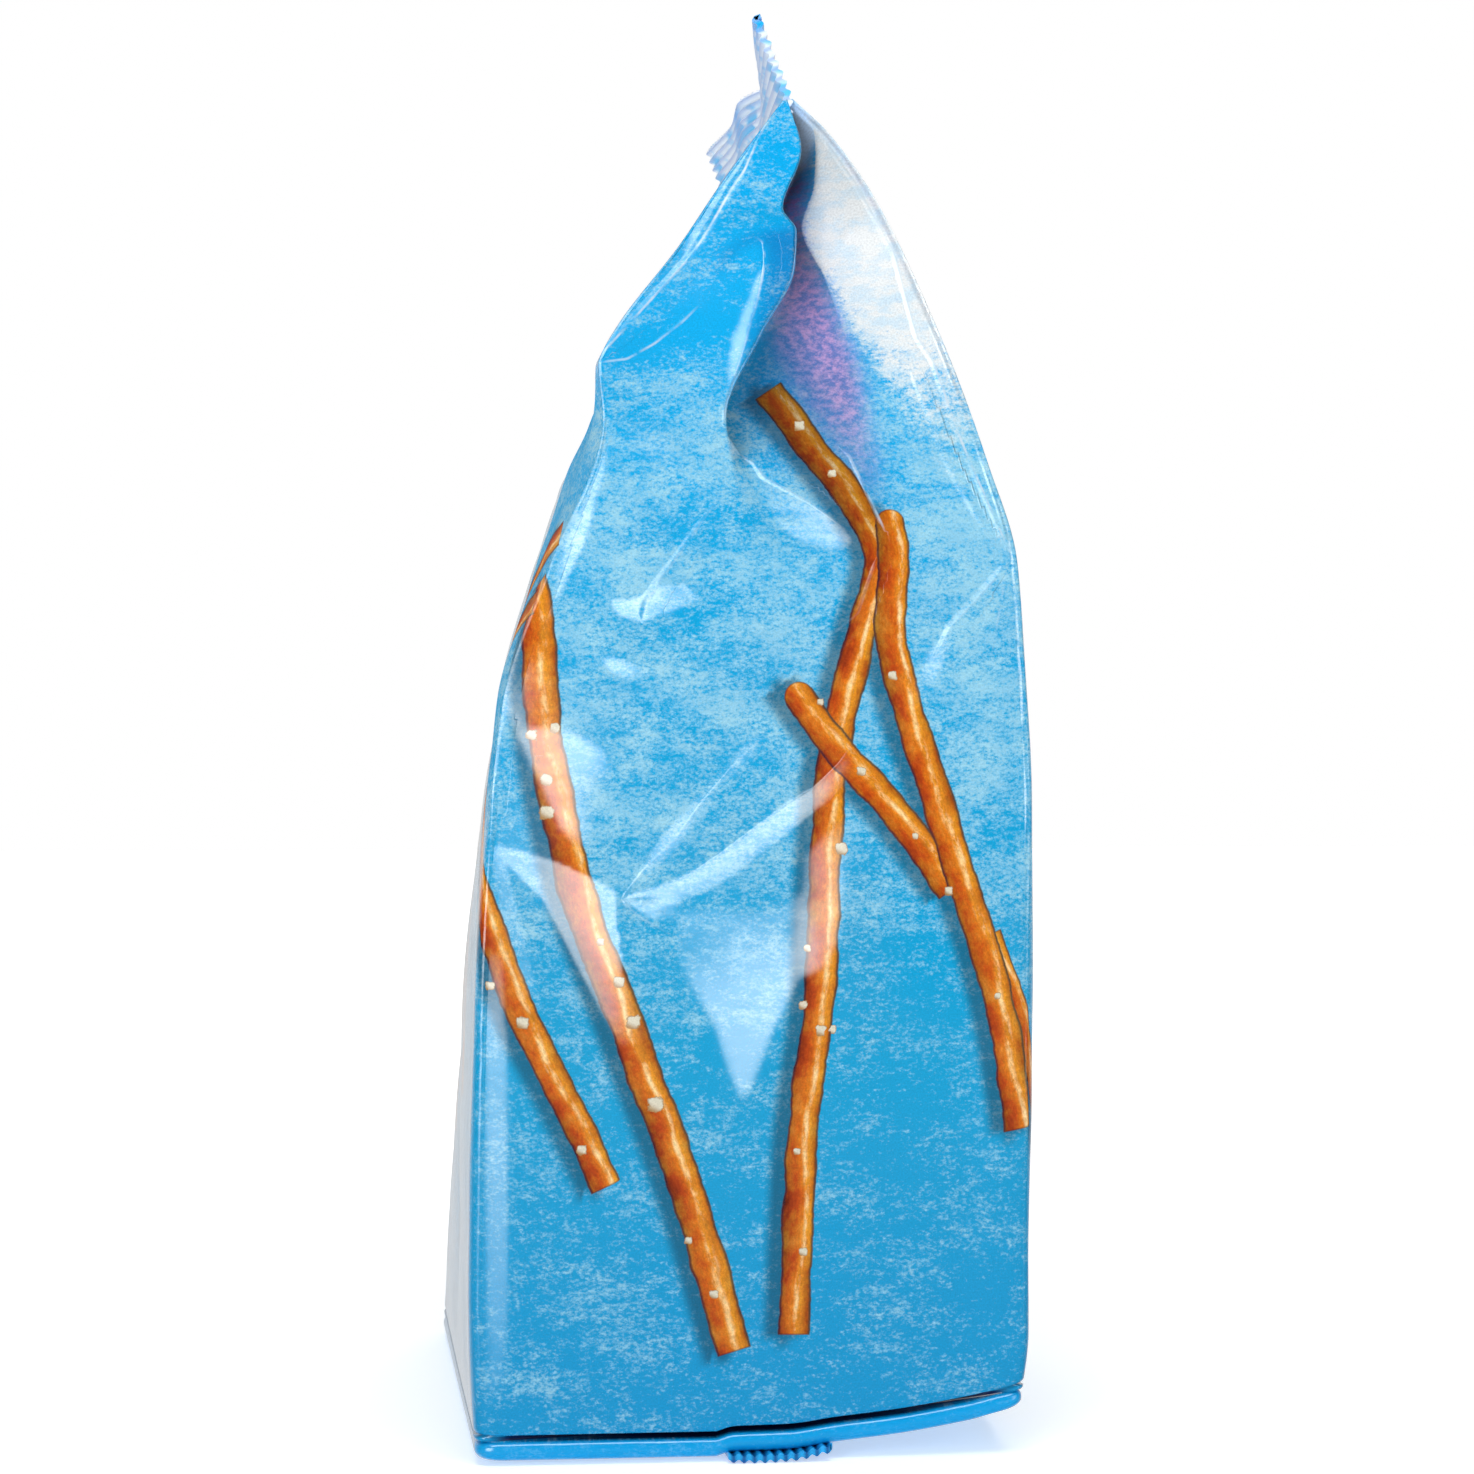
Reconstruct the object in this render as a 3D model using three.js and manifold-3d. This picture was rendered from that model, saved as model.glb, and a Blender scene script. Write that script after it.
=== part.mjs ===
// A sealed, side-gusseted film bag of pretzel sticks, standing on its folded base.
// Millimetres, +Z up. The narrow side that the photograph shows faces -Y, and +X is to its right.
// The bag is one closed skin: a boxy lower part round the upright sticks, and an empty top that
// tapers to a crimped seal. Both narrow sides are tucked in under the top seal.
import * as THREE from "three";
import { mergeVertices } from "three/addons/utils/BufferGeometryUtils.js";
import Module from "manifold-3d";

// ---- Driving dimensions -------------------------------------------------------------------
const FACE_WIDTH = 91; // narrow side, across the front
const BAG_DEPTH = 130; // wide side, from front to back
const SEAL_HEIGHT = 226.5; // where the walls meet under the top seal
const CRIMP_HEIGHT = 15; // width of each crimped seal
const CRIMP_SINK = 2.5; // the seal starts this far inside the walls
const CRIMP_THICKNESS = 1.1;
const CRIMP_PITCH = 2.5; // one rib of the crimp, of which a whole number fits
const RIB_DEPTH = 0.45;
const CORNER_RADIUS = 3.2; // upright edges of the filled part
const HEM_HEIGHT = 3.2; // folded front edge of the base
const POCKET_DEPTH = 9; // how far the narrow side tucks in above the hem
const POCKET_GAP = 1.0;
const BASE_INSET = 1.2; // roll of the base edge
const BASE_SAG = 0.8; // how far the middle of the base hangs below its edge
const SEAM_RAISE = 0.6; // lengthways lap seam on the right wide side
const SEAM_X = -4.2; // where the base seal runs, from front to back
const FRONT = -BAG_DEPTH / 2;
const BACK = BAG_DEPTH / 2;
const BOX_CENTRE = { x: 1.4, y: -0.45 }; // middle of the finished outline, moved onto the origin

// ---- Curves by height ---------------------------------------------------------------------
// A smooth curve through [position, value] stations that never overshoots them.
function through(stations) {
  const t = stations.map((s) => s[0]);
  const v = stations.map((s) => s[1]);
  const rise = t.slice(1).map((next, i) => (v[i + 1] - v[i]) / (next - t[i]));
  const slope = t.map((_, i) => {
    if (i === 0) return rise[0];
    if (i === t.length - 1) return rise[i - 1];
    const product = rise[i - 1] * rise[i];
    return product <= 0 ? 0 : (2 * product) / (rise[i - 1] + rise[i]);
  });
  return (at) => {
    if (at <= t[0]) return v[0];
    if (at >= t[t.length - 1]) return v[v.length - 1];
    const i = t.findIndex((_, k) => at < t[k + 1]);
    const step = t[i + 1] - t[i];
    const s = (at - t[i]) / step;
    return (
      v[i] * (1 + 2 * s) * (1 - s) ** 2 +
      v[i + 1] * s * s * (3 - 2 * s) +
      step * s * (1 - s) * (slope[i] * (1 - s) - slope[i + 1] * s)
    );
  };
}

const HALF = FACE_WIDTH / 2;
// The four upright edges, as x by height. The left front one has a sharp kink at 174 to 183.
const leftFront = through([
  [0, -HALF - 0.6], [27, -HALF - 1.8], [71, -HALF - 1], [103, -HALF + 1.2], [127, -41.4],
  [149, -33.6], [173, -24.9], [182.2, -25.8], [183.6, -25.3], [189, -22.2], [202, -12.2], [213, -4.8],
  [SEAL_HEIGHT, 5.2],
]);
const rightFront = through([
  [0, HALF + 0.4], [14, HALF + 1.8], [76, HALF + 2], [109, HALF + 1.7], [135, HALF + 0.4],
  [150, HALF - 0.7], [166, 39.9], [188, 31.6], [210, 20.8], [221, 12.8], [SEAL_HEIGHT, 6.8],
]);
const leftBack = through([
  [0, -HALF - 3.7], [29, -HALF - 1.6], [64, -43.5], [110, -37.5], [130, -34],
  [150, -29.5], [170, -22], [190, -12], [210, -1], [SEAL_HEIGHT, 9.8],
]);
const rightBack = through([
  [0, HALF], [30, HALF + 2], [110, HALF + 1], [135, HALF - 0.5], [150, 43],
  [170, 36], [190, 28], [210, 20], [SEAL_HEIGHT, 11.4],
]);
// How far each wide side, and the narrow side below its tuck, stands out in the middle.
const leftBulge = through([
  [0, 0], [30, 0.8], [100, 2], [130, 2.4], [155, 3.4], [166, 4.2], [174, 1.6], [180, -1], [SEAL_HEIGHT, 0],
]);
const rightBulge = through([[0, 0], [30, 2.5], [90, 4], [135, 3], [165, 1], [SEAL_HEIGHT, 0]]);
const frontBulge = through([[4, 0.3], [30, 2], [90, 2.8], [140, 2.2], [165, 0.5], [SEAL_HEIGHT, 0]]);
// The narrow front side folds over itself at the top. Its left half ends in a free edge, the
// flap, which hangs in front of a valley; the valley floor climbs right to a soft ridge.
const flapEdge = through([
  [0, 0], [120, -1], [165, -3.4], [173, -4.7], [187, 1.3], [198, 6.7], [204, 7], [208, 5],
  [218, 8.2], [SEAL_HEIGHT, 5.8],
]);
const flapRaise = through([[140, 0], [165, 0.6], [175, 3], [204, 3.5], [209, 1], [SEAL_HEIGHT, 0]]);
const valleyOffset = through([[150, 6], [166, 3], [172, 1], [SEAL_HEIGHT - 2, 0.8], [SEAL_HEIGHT, 0.2]]);
const valleyDepth = through([
  [150, 0], [165, 3], [172, 8], [188, 13], [206, 15], [214, 16], [222, 8], [SEAL_HEIGHT, 0.3],
]);
const ridge = through([
  [0, 22], [157, 23], [182, 19.3], [198, 13.5], [206, 9.6], [214, 11.5], [221, 11], [SEAL_HEIGHT, 6.4],
]);
const ridgeDepth = through([
  [150, 0], [182, 5], [198, 8], [206, 9], [214, 6], [221, 2.5], [SEAL_HEIGHT, 0.2],
]);
const backTuck = through([[140, 0], [165, 4], [188, 13], [206, 16], [218, 10], [SEAL_HEIGHT, 0.5]]);

// ---- The base -----------------------------------------------------------------------------
// The base stands flat on its left half and on the folded seal; its right front corner is raised.
const cornerRise = through([[-6, 0], [-3, 0.8], [6, 1], [14, 2], [25, 3.2], [36, 5], [HALF, 6.9]]);
const RISE_STARTS = 18; // distance from the middle, front to back, where corners start to rise
const BACK_RISE = 0.35; // the back right corner rises less
const overSeal = through([[-6, 0], [-3, 1], [14, 1], [19, 0], [HALF, 0]]); // the seal lies under here

function baseRise(x, y) {
  const out = THREE.MathUtils.smoothstep(Math.abs(y), RISE_STARTS, BACK);
  const share = y < 0 ? out : out * BACK_RISE;
  return THREE.MathUtils.lerp(overSeal(x), cornerRise(x), share);
}

// ---- One ring of the skin -----------------------------------------------------------------
const LEFT_HALF = [0, 0.035, 0.1, 0.2, 0.35, 0.5, 0.65, 0.8, 0.92, 1]; // left edge to flap edge
const WALL = [0.5, 1]; // down the flap's free edge into the valley
const SLOPE = [0.33, 0.66, 1]; // valley floor to the ridge
const RIGHT_HALF = [0.2, 0.45, 0.7, 0.88, 0.96, 1]; // ridge to the right edge
const SIDE = [0.025, 0.12, 0.25, 0.38, 0.455, 0.462, 0.538, 0.545, 0.62, 0.75, 0.88, 0.975, 1];
const SEAM_FROM = 0.46;
const SEAM_TO = 0.54;
const BACK_SIDE = [0.04, 0.16, 0.32, 0.46, 0.5, 0.54, 0.68, 0.84, 0.96, 1];

const arch = (t) => 4 * t * (1 - t);
const mix = (a, b, t) => [a[0] + (b[0] - a[0]) * t, a[1] + (b[1] - a[1]) * t];

// The outline at one height, anticlockwise from above and starting at the left front edge.
function outline(z) {
  const lf = [leftFront(z), FRONT];
  const rf = [rightFront(z), FRONT];
  const lb = [leftBack(z), BACK];
  const rb = [rightBack(z), BACK];
  const edge = [flapEdge(z), FRONT - frontBulge(z) - flapRaise(z)];
  const floor = [edge[0] + valleyOffset(z), FRONT - frontBulge(z) + valleyDepth(z)];
  const crest = [ridge(z), FRONT - 0.75 * frontBulge(z) + ridgeDepth(z)];
  const points = [];
  LEFT_HALF.forEach((t) => {
    const p = mix(lf, edge, t);
    points.push([p[0], p[1] - 0.25 * frontBulge(z) * arch(t) - 0.3 * flapRaise(z) * arch(t)]);
  });
  WALL.forEach((t) => points.push(mix(edge, floor, t)));
  SLOPE.forEach((t) => points.push(mix(floor, crest, t)));
  RIGHT_HALF.forEach((t) => {
    const p = mix(crest, rf, t);
    points.push([p[0], p[1] - 0.4 * frontBulge(z) * arch(t)]);
  });
  SIDE.forEach((t) => {
    const p = mix(rf, rb, t);
    const onSeam = t > SEAM_FROM && t < SEAM_TO && z > HEM_HEIGHT ? SEAM_RAISE : 0;
    points.push([p[0] + rightBulge(z) * arch(t) + onSeam, p[1]]);
  });
  BACK_SIDE.forEach((t) => {
    const p = mix(rb, lb, t);
    const tuck = backTuck(z) * (1 - Math.abs(2 * t - 1)) ** 1.4;
    points.push([p[0], p[1] + frontBulge(z) * arch(t) - tuck]);
  });
  SIDE.slice(0, -1).forEach((t) => {
    const p = mix(lb, lf, t);
    points.push([p[0] - leftBulge(z) * arch(t), p[1]]);
  });
  return roundCorners(points, z);
}

// Pulls the four upright edges in, so that each is a short chamfer and not a knife edge.
const FRONT_END = LEFT_HALF.length + WALL.length + SLOPE.length + RIGHT_HALF.length - 1;
const CORNERS = [
  { at: 0, x: -1, y: -1 },
  { at: FRONT_END, x: 1, y: -1 },
  { at: FRONT_END + SIDE.length, x: 1, y: 1 },
  { at: FRONT_END + SIDE.length + BACK_SIDE.length, x: -1, y: 1 },
];
const PULL = 0.29; // share of the radius by which a rounded corner falls short of a sharp one
const FILLED_TO = 120; // above this the bag is empty and its edges get sharper
function roundCorners(points, z) {
  const radius = CORNER_RADIUS * (1 - THREE.MathUtils.smoothstep(z, FILLED_TO, SEAL_HEIGHT));
  CORNERS.forEach((corner) => {
    points[corner.at][0] -= corner.x * PULL * radius;
    points[corner.at][1] -= corner.y * PULL * radius;
  });
  return points;
}

// ---- The rings from the base to the top seal ----------------------------------------------
// Each low ring is [height, roll inwards on every side, tuck inwards on the narrow sides].
const TUCK_FROM = HEM_HEIGHT + 0.3;
const LOW_RINGS = [
  [0, BASE_INSET, 0],
  [HEM_HEIGHT * 0.2, 0.3, 0],
  [HEM_HEIGHT * 0.6, 0, 0],
  [HEM_HEIGHT, 0.5, 0],
  [TUCK_FROM, 0, POCKET_DEPTH],
  [TUCK_FROM + POCKET_GAP * 0.6, 0, POCKET_DEPTH],
  [TUCK_FROM + POCKET_GAP, 0.3, 0],
  [TUCK_FROM + POCKET_GAP + 2, 0, 0],
];
const LEVELS = [
  11, 18, 27, 38, 52, 68, 84, 99, 112, 122, 131, 139, 146, 152, 158, 163, 167, 170, 173, 176, 179,
  183, 187, 191, 195, 198, 201, 204, 206, 208, 211, 214, 217, 219, 221, 223, 225, SEAL_HEIGHT,
];
const RISE_ENDS = 45; // height at which the skin no longer follows the raised corner

function lowRing([height, roll, tuck]) {
  return outline(height).map(([x, y]) => {
    const narrow = THREE.MathUtils.smoothstep(Math.abs(y), BACK - 8, BACK - 2); // 0 on a wide side
    const across = Math.min(1, Math.abs(x) / HALF);
    const inX = across > 0.9 ? roll : 0;
    const inY = narrow * (roll + tuck * (1 - across ** 1.5));
    return new THREE.Vector3(
      x - Math.sign(x) * inX,
      y - Math.sign(y) * inY,
      BASE_SAG + height + baseRise(x, y),
    );
  });
}

function highRing(height) {
  const share = 1 - THREE.MathUtils.smoothstep(height, TUCK_FROM, RISE_ENDS);
  return outline(height).map(
    ([x, y]) => new THREE.Vector3(x, y, BASE_SAG + height + baseRise(x, y) * share),
  );
}

// Rings inside the base, from near its middle out towards its edge.
const BASE_SHARES = [0.12, 0.3, 0.5, 0.7, 0.87];
function baseRings(edge) {
  return BASE_SHARES.map((share) =>
    edge.map((p) => {
      const x = p.x * share;
      const y = p.y * share;
      return new THREE.Vector3(x, y, baseRise(x, y));
    }),
  );
}

function skinGeometry() {
  const low = LOW_RINGS.map(lowRing);
  const rings = [...baseRings(low[0]), ...low, ...LEVELS.map(highRing)];
  const around = rings[0].length;
  const positions = rings.flat().flatMap((p) => [p.x, p.y, p.z]);
  const faces = [];
  for (let r = 0; r + 1 < rings.length; r++) {
    for (let i = 0; i < around; i++) {
      const j = (i + 1) % around;
      const [a, b, c, d] = [r * around + i, r * around + j, (r + 1) * around + i, (r + 1) * around + j];
      faces.push(a, b, d, a, d, c);
    }
  }
  const middle = rings.length * around; // the last vertex, in the middle of the base
  positions.push(0, 0, baseRise(0, 0));
  for (let i = 0; i < around; i++) faces.push(middle, (i + 1) % around, i);
  const top = (rings.length - 1) * around;
  const rim = rings[rings.length - 1].map((p) => new THREE.Vector2(p.x, p.y));
  THREE.ShapeUtils.triangulateShape(rim, []).forEach(([a, b, c]) =>
    faces.push(top + a, top + b, top + c),
  );
  const geometry = new THREE.BufferGeometry();
  geometry.setAttribute("position", new THREE.Float32BufferAttribute(positions, 3));
  geometry.setIndex(faces);
  return geometry;
}

// ---- The crimped seals --------------------------------------------------------------------
// A ribbon with ribs along its length. place(along, up, side) gives a point: along runs from 0 at
// the front to 1 at the back, up from 0 at the root to 1 at the cut edge, and side is -1 or 1.
function ribbonGeometry(place, alongSteps, upSteps) {
  const positions = [];
  const faces = [];
  const row = upSteps + 1;
  for (const side of [-1, 1]) {
    for (let i = 0; i <= alongSteps; i++) {
      for (let k = 0; k <= upSteps; k++) positions.push(...place(i / alongSteps, k / upSteps, side));
    }
  }
  const back = (alongSteps + 1) * row;
  const quad = (a, b, c, d) => faces.push(a, b, c, a, c, d);
  for (let i = 0; i < alongSteps; i++) {
    for (let k = 0; k < upSteps; k++) {
      const a = i * row + k;
      quad(a, a + 1, a + row + 1, a + row);
      quad(back + a, back + a + row, back + a + row + 1, back + a + 1);
    }
    const root = i * row;
    const rim = root + upSteps;
    quad(root, root + row, back + root + row, back + root);
    quad(rim, back + rim, back + rim + row, rim + row);
  }
  for (let k = 0; k < upSteps; k++) {
    const end = alongSteps * row + k;
    quad(k, back + k, back + k + 1, k + 1);
    quad(end, end + 1, back + end + 1, back + end);
  }
  const geometry = new THREE.BufferGeometry();
  geometry.setAttribute("position", new THREE.Float32BufferAttribute(positions, 3));
  geometry.setIndex(faces);
  return geometry;
}

const RIBS = (CRIMP_HEIGHT + CRIMP_SINK) / CRIMP_PITCH;
const UP_STEPS = 2 * RIBS; // one step up and one step down for each rib
const ribs = (up) => RIB_DEPTH * Math.cos(2 * Math.PI * RIBS * up);

// The top seal leans left at both ends and sways the other way in the middle.
const TOP_ROOT = [
  (leftFront(SEAL_HEIGHT) + rightFront(SEAL_HEIGHT)) / 2,
  (leftBack(SEAL_HEIGHT) + rightBack(SEAL_HEIGHT)) / 2,
];
const topLean = through([[0, 22], [0.27, 8], [0.5, -6], [0.62, 9], [0.78, 7], [1, 21]]); // degrees left
function topSeal(along, up, side) {
  const lean = THREE.MathUtils.degToRad(topLean(along));
  const height = up * (CRIMP_HEIGHT + CRIMP_SINK) - CRIMP_SINK;
  const wave = ribs(up) + (side * CRIMP_THICKNESS) / 2;
  const out = Math.max(0, height);
  return [
    THREE.MathUtils.lerp(...TOP_ROOT, along) - Math.sin(lean) * out + Math.cos(lean) * wave,
    FRONT + along * BAG_DEPTH,
    BASE_SAG + SEAL_HEIGHT + Math.min(0, height) + Math.cos(lean) * out + Math.sin(lean) * wave,
  ];
}

// The base seal is folded to the right, flat under the base. Its front end stands out a little
// past the narrow side, turns up at its cut edge and shows its ribs.
const turnUp = through([[0, 0.2], [0.3, 0], [0.6, 0.2], [1, 1.5]]);
const BASE_SEAL_END = 1.5;
const BURIED = 0.4; // how far the seal reaches up into the base that presses on it
function baseSeal(along, up, side) {
  const x = SEAM_X + up * (CRIMP_HEIGHT + CRIMP_SINK);
  const y = FRONT - BASE_SEAL_END + along * (BAG_DEPTH + 2 * BASE_SEAL_END);
  const open = 1 - THREE.MathUtils.smoothstep(along, 0, 0.12);
  const under = open * (turnUp(up) + 0.8 * (RIB_DEPTH + ribs(up)));
  if (side > 0) return [x, y, under];
  const pressed = 1 - THREE.MathUtils.smoothstep(Math.abs(y), BACK - 9, BACK - 3);
  return [x, y, THREE.MathUtils.lerp(under + CRIMP_THICKNESS, baseRise(x, y) + BURIED, pressed)];
}

// ---- Joining ------------------------------------------------------------------------------
const wasm = await Module();
wasm.setup();

function solid(geometry) {
  const merged = mergeVertices(geometry, 1e-4);
  return new wasm.Manifold(
    new wasm.Mesh({
      numProp: 3,
      vertProperties: merged.attributes.position.array,
      triVerts: new Uint32Array(merged.index.array),
    }),
  );
}

function bagGeometry() {
  const joined = solid(skinGeometry())
    .add(solid(ribbonGeometry(topSeal, 26, UP_STEPS)))
    .add(solid(ribbonGeometry(baseSeal, 14, UP_STEPS)));
  const mesh = joined.getMesh();
  const geometry = new THREE.BufferGeometry();
  geometry.setAttribute("position", new THREE.Float32BufferAttribute(mesh.vertProperties, 3));
  geometry.setIndex(new THREE.Uint32BufferAttribute(mesh.triVerts, 1));
  geometry.computeVertexNormals();
  return geometry;
}

const film = new THREE.MeshStandardMaterial({ color: 0x2ba5d6, roughness: 0.28, metalness: 0 });
const bag = new THREE.Mesh(bagGeometry(), film);
bag.name = "bag";
bag.position.set(-BOX_CENTRE.x, -BOX_CENTRE.y, 0);

const group = new THREE.Group();
group.add(bag);

export default group;
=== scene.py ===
"""A sealed film bag of pretzel sticks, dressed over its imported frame.

The bag is one closed skin of printed polypropylene film, drawn as rings from its folded base to the
line where its walls meet, and two crimped seals. Lengths are in millimetres, in the frame's own axes
before it is centred, until a mesh is made. The narrow side that the camera sees faces -Y.
"""

import math
from functools import partial

import bpy
import numpy as np
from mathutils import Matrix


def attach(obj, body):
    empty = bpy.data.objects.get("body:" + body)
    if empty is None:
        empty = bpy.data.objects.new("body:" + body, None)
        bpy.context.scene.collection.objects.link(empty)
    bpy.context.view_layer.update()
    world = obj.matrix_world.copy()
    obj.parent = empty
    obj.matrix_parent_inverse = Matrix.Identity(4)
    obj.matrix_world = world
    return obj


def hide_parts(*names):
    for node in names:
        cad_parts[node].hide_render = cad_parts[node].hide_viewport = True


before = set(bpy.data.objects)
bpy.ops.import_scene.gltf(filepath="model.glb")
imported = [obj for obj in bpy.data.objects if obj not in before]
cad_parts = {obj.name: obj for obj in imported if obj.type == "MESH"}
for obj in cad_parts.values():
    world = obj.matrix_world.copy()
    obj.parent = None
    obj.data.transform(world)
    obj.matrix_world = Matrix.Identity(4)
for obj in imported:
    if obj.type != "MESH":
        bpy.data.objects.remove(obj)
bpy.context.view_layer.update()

MM = 0.001
SEED = 7


def add_object(name, data):
    made = bpy.data.objects.new(name, data)
    bpy.context.scene.collection.objects.link(made)
    return made


# ---- Camera -------------------------------------------------------------------------------------
# A level telephoto view of the narrow side, turned a little to the right.
CAMERA_PLACE = (-63.02, -625.94, 120.8)
CAMERA_TURN = 6  # degrees
LENS = 82.75
SENSOR = 36
NEAREST_SEEN = 10


def make_camera():
    data = bpy.data.cameras.new("camera")
    data.lens = LENS
    data.sensor_width = SENSOR
    data.clip_start = MM * NEAREST_SEEN
    camera = add_object("camera", data)
    camera.location = [MM * c for c in CAMERA_PLACE]
    camera.rotation_euler = (math.radians(90), 0, math.radians(-CAMERA_TURN))
    bpy.context.scene.camera = camera


make_camera()

# ---- Driving dimensions, as in the part's source --------------------------------------------------
HALF = 45.5  # half of the narrow side
BAG_DEPTH = 130
FRONT = -BAG_DEPTH / 2
BACK = BAG_DEPTH / 2
SEAL_HEIGHT = 226.5
CRIMP_HEIGHT = 15
CRIMP_SINK = 2.5
CRIMP_THICKNESS = 1.1
CRIMP_PITCH = 1.75
RIB_DEPTH = 0.35
HEM_HEIGHT = 3.2
POCKET_DEPTH = 9
BASE_SAG = 0.8
SEAM_RAISE = 0.6
SEAM_X = -4.2
BOX_CENTRE = np.array([1.4, -0.45, 0])  # taken off every point, to stand the bag on the origin


def smoothstep(value, low, high):
    t = np.clip((value - low) / (high - low), 0, 1)
    return t * t * (3 - 2 * t)


def arch(t):
    return 4 * t * (1 - t)


def through(stations):
    """A smooth curve through (position, value) stations that never overshoots them."""
    t, v = np.array(stations, float).T
    rise = np.diff(v) / np.diff(t)
    product = rise[:-1] * rise[1:]
    total = np.where(product > 0, rise[:-1] + rise[1:], 1)
    inner = np.where(product > 0, 2 * product / total, 0)
    slope = np.concatenate([rise[:1], inner, rise[-1:]])

    def curve(at):
        at = np.clip(at, t[0], t[-1])
        i = np.clip(np.searchsorted(t, at, side="right") - 1, 0, len(t) - 2)
        step = t[i + 1] - t[i]
        s = (at - t[i]) / step
        ends = v[i] * (1 + 2 * s) * (1 - s) ** 2 + v[i + 1] * s * s * (3 - 2 * s)
        return ends + step * s * (1 - s) * (slope[i] * (1 - s) - slope[i + 1] * s)

    return curve


# ---- Curves by height: the four upright edges, and how the walls stand out between them -----------
left_front = through([
    (0, -HALF - 0.6), (27, -HALF - 1.8), (71, -HALF - 1), (103, -HALF + 1.2), (127, -41.4),
    (149, -33.6), (173, -24.9), (182.2, -25.8), (183.6, -25.3), (189, -22.2), (202, -12.2),
    (213, -4.8), (SEAL_HEIGHT, 5.2),
])
right_front = through([
    (0, HALF + 0.4), (14, HALF + 1.8), (76, HALF + 2), (109, HALF + 1.7), (135, HALF + 0.4),
    (150, HALF - 0.7), (166, 39.9), (188, 31.6), (210, 20.8), (221, 12.8), (SEAL_HEIGHT, 6.8),
])
left_back = through([
    (0, -HALF - 3.7), (29, -HALF - 1.6), (64, -43.5), (110, -37.5), (130, -34), (150, -29.5),
    (170, -22), (190, -12), (210, -1), (SEAL_HEIGHT, 9.8),
])
right_back = through([
    (0, HALF), (30, HALF + 2), (110, HALF + 1), (135, HALF - 0.5), (150, 43), (170, 36), (190, 28),
    (210, 20), (SEAL_HEIGHT, 11.4),
])
left_bulge = through([
    (0, 0), (30, 0.8), (100, 2), (130, 2.4), (155, 3.4), (166, 4.2), (174, 1.6), (180, -1),
    (SEAL_HEIGHT, 0),
])
right_bulge = through([(0, 0), (30, 2.5), (90, 4), (135, 3), (165, 1), (SEAL_HEIGHT, 0)])
front_bulge = through([(4, 0.3), (30, 2), (90, 2.8), (140, 2.2), (165, 0.5), (SEAL_HEIGHT, 0)])
# The top of the narrow side: a flap with a free edge, a valley behind it and a soft ridge.
flap_edge = through([
    (0, 0), (120, -1), (165, -3.4), (173, -4.7), (187, 1.3), (198, 6.7), (204, 7), (208, 5),
    (218, 8.2), (SEAL_HEIGHT, 5.8),
])
flap_raise = through([(140, 0), (165, 0.6), (175, 3), (204, 3.5), (209, 1), (SEAL_HEIGHT, 0)])
valley_offset = through([(150, 6), (166, 3), (172, 1), (SEAL_HEIGHT - 2, 0.8), (SEAL_HEIGHT, 0.2)])
valley_depth = through([
    (150, 0), (165, 3), (172, 8), (188, 13), (206, 15), (214, 16), (222, 8), (SEAL_HEIGHT, 0.3),
])
ridge = through([
    (0, 22), (157, 23), (182, 19.3), (198, 13.5), (206, 9.6), (214, 11.5), (221, 11),
    (SEAL_HEIGHT, 6.4),
])
ridge_depth = through([
    (150, 0), (182, 5), (198, 8), (206, 9), (214, 6), (221, 2.5), (SEAL_HEIGHT, 0.2),
])
back_tuck = through([(140, 0), (165, 4), (188, 13), (206, 16), (218, 10), (SEAL_HEIGHT, 0.5)])

# The base: its right front corner is raised, and its middle lies on the folded seal.
corner_rise = through([(-6, 0), (-3, 0.8), (6, 1), (14, 2), (25, 3.2), (36, 5), (HALF, 6.9)])
over_seal = through([(-6, 0), (-3, 1), (14, 1), (19, 0), (HALF, 0)])
RISE_STARTS = 18
BACK_RISE = 0.35


def base_rise(x, y):
    out = smoothstep(np.abs(y), RISE_STARTS, BACK)
    share = np.where(y < 0, out, out * BACK_RISE)
    return over_seal(x) * (1 - share) + corner_rise(x) * share


# ---- Columns round the bag and rings up it --------------------------------------------------------
def spread(count, near_start=(), near_end=()):
    """Shares from 0 to 1 without the 0: listed ones near both ends, even steps between them."""
    first = near_start[-1] if near_start else 0
    last = 1 - near_end[-1] if near_end else 1
    even = np.linspace(first, last, count + 1)[1:]
    mirrored = [1 - s for s in near_end[::-1]][1:] + [1.0] if near_end else []
    return np.concatenate([near_start, even, mirrored])


CORNER_STEPS = [0.005, 0.011, 0.018, 0.027, 0.038, 0.052]  # shares of a wide side near its corners
BACK_STEPS = [0.008, 0.017, 0.028, 0.042, 0.06]
LEFT_COLUMNS = np.linspace(0, 1, 85)
WALL_COLUMNS = spread(10)
SLOPE_COLUMNS = spread(30)
RIGHT_COLUMNS = spread(46)
SIDE_COLUMNS = spread(46, CORNER_STEPS, CORNER_STEPS)
BACK_COLUMNS = spread(34, BACK_STEPS, BACK_STEPS)
EDGE_AT = len(LEFT_COLUMNS) - 1  # the columns of the flap's edge, the valley's floor and the ridge
FLOOR_AT = EDGE_AT + len(WALL_COLUMNS)
CREST_AT = FLOOR_AT + len(SLOPE_COLUMNS)
FRONT_LAST = CREST_AT + len(RIGHT_COLUMNS)
RIGHT_LAST = FRONT_LAST + len(SIDE_COLUMNS)
BACK_LAST = RIGHT_LAST + len(BACK_COLUMNS)
SEAM_FROM, SEAM_TO = 0.46, 0.54  # the lengthways lap seam, as shares of the right wide side
# Radius of the upright edges by height: sharper where the bag is empty.
corner_radius = through([(0, 3.7), (70, 3.6), (105, 1.6), (150, 0.8), (SEAL_HEIGHT, 0.3)])


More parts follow.
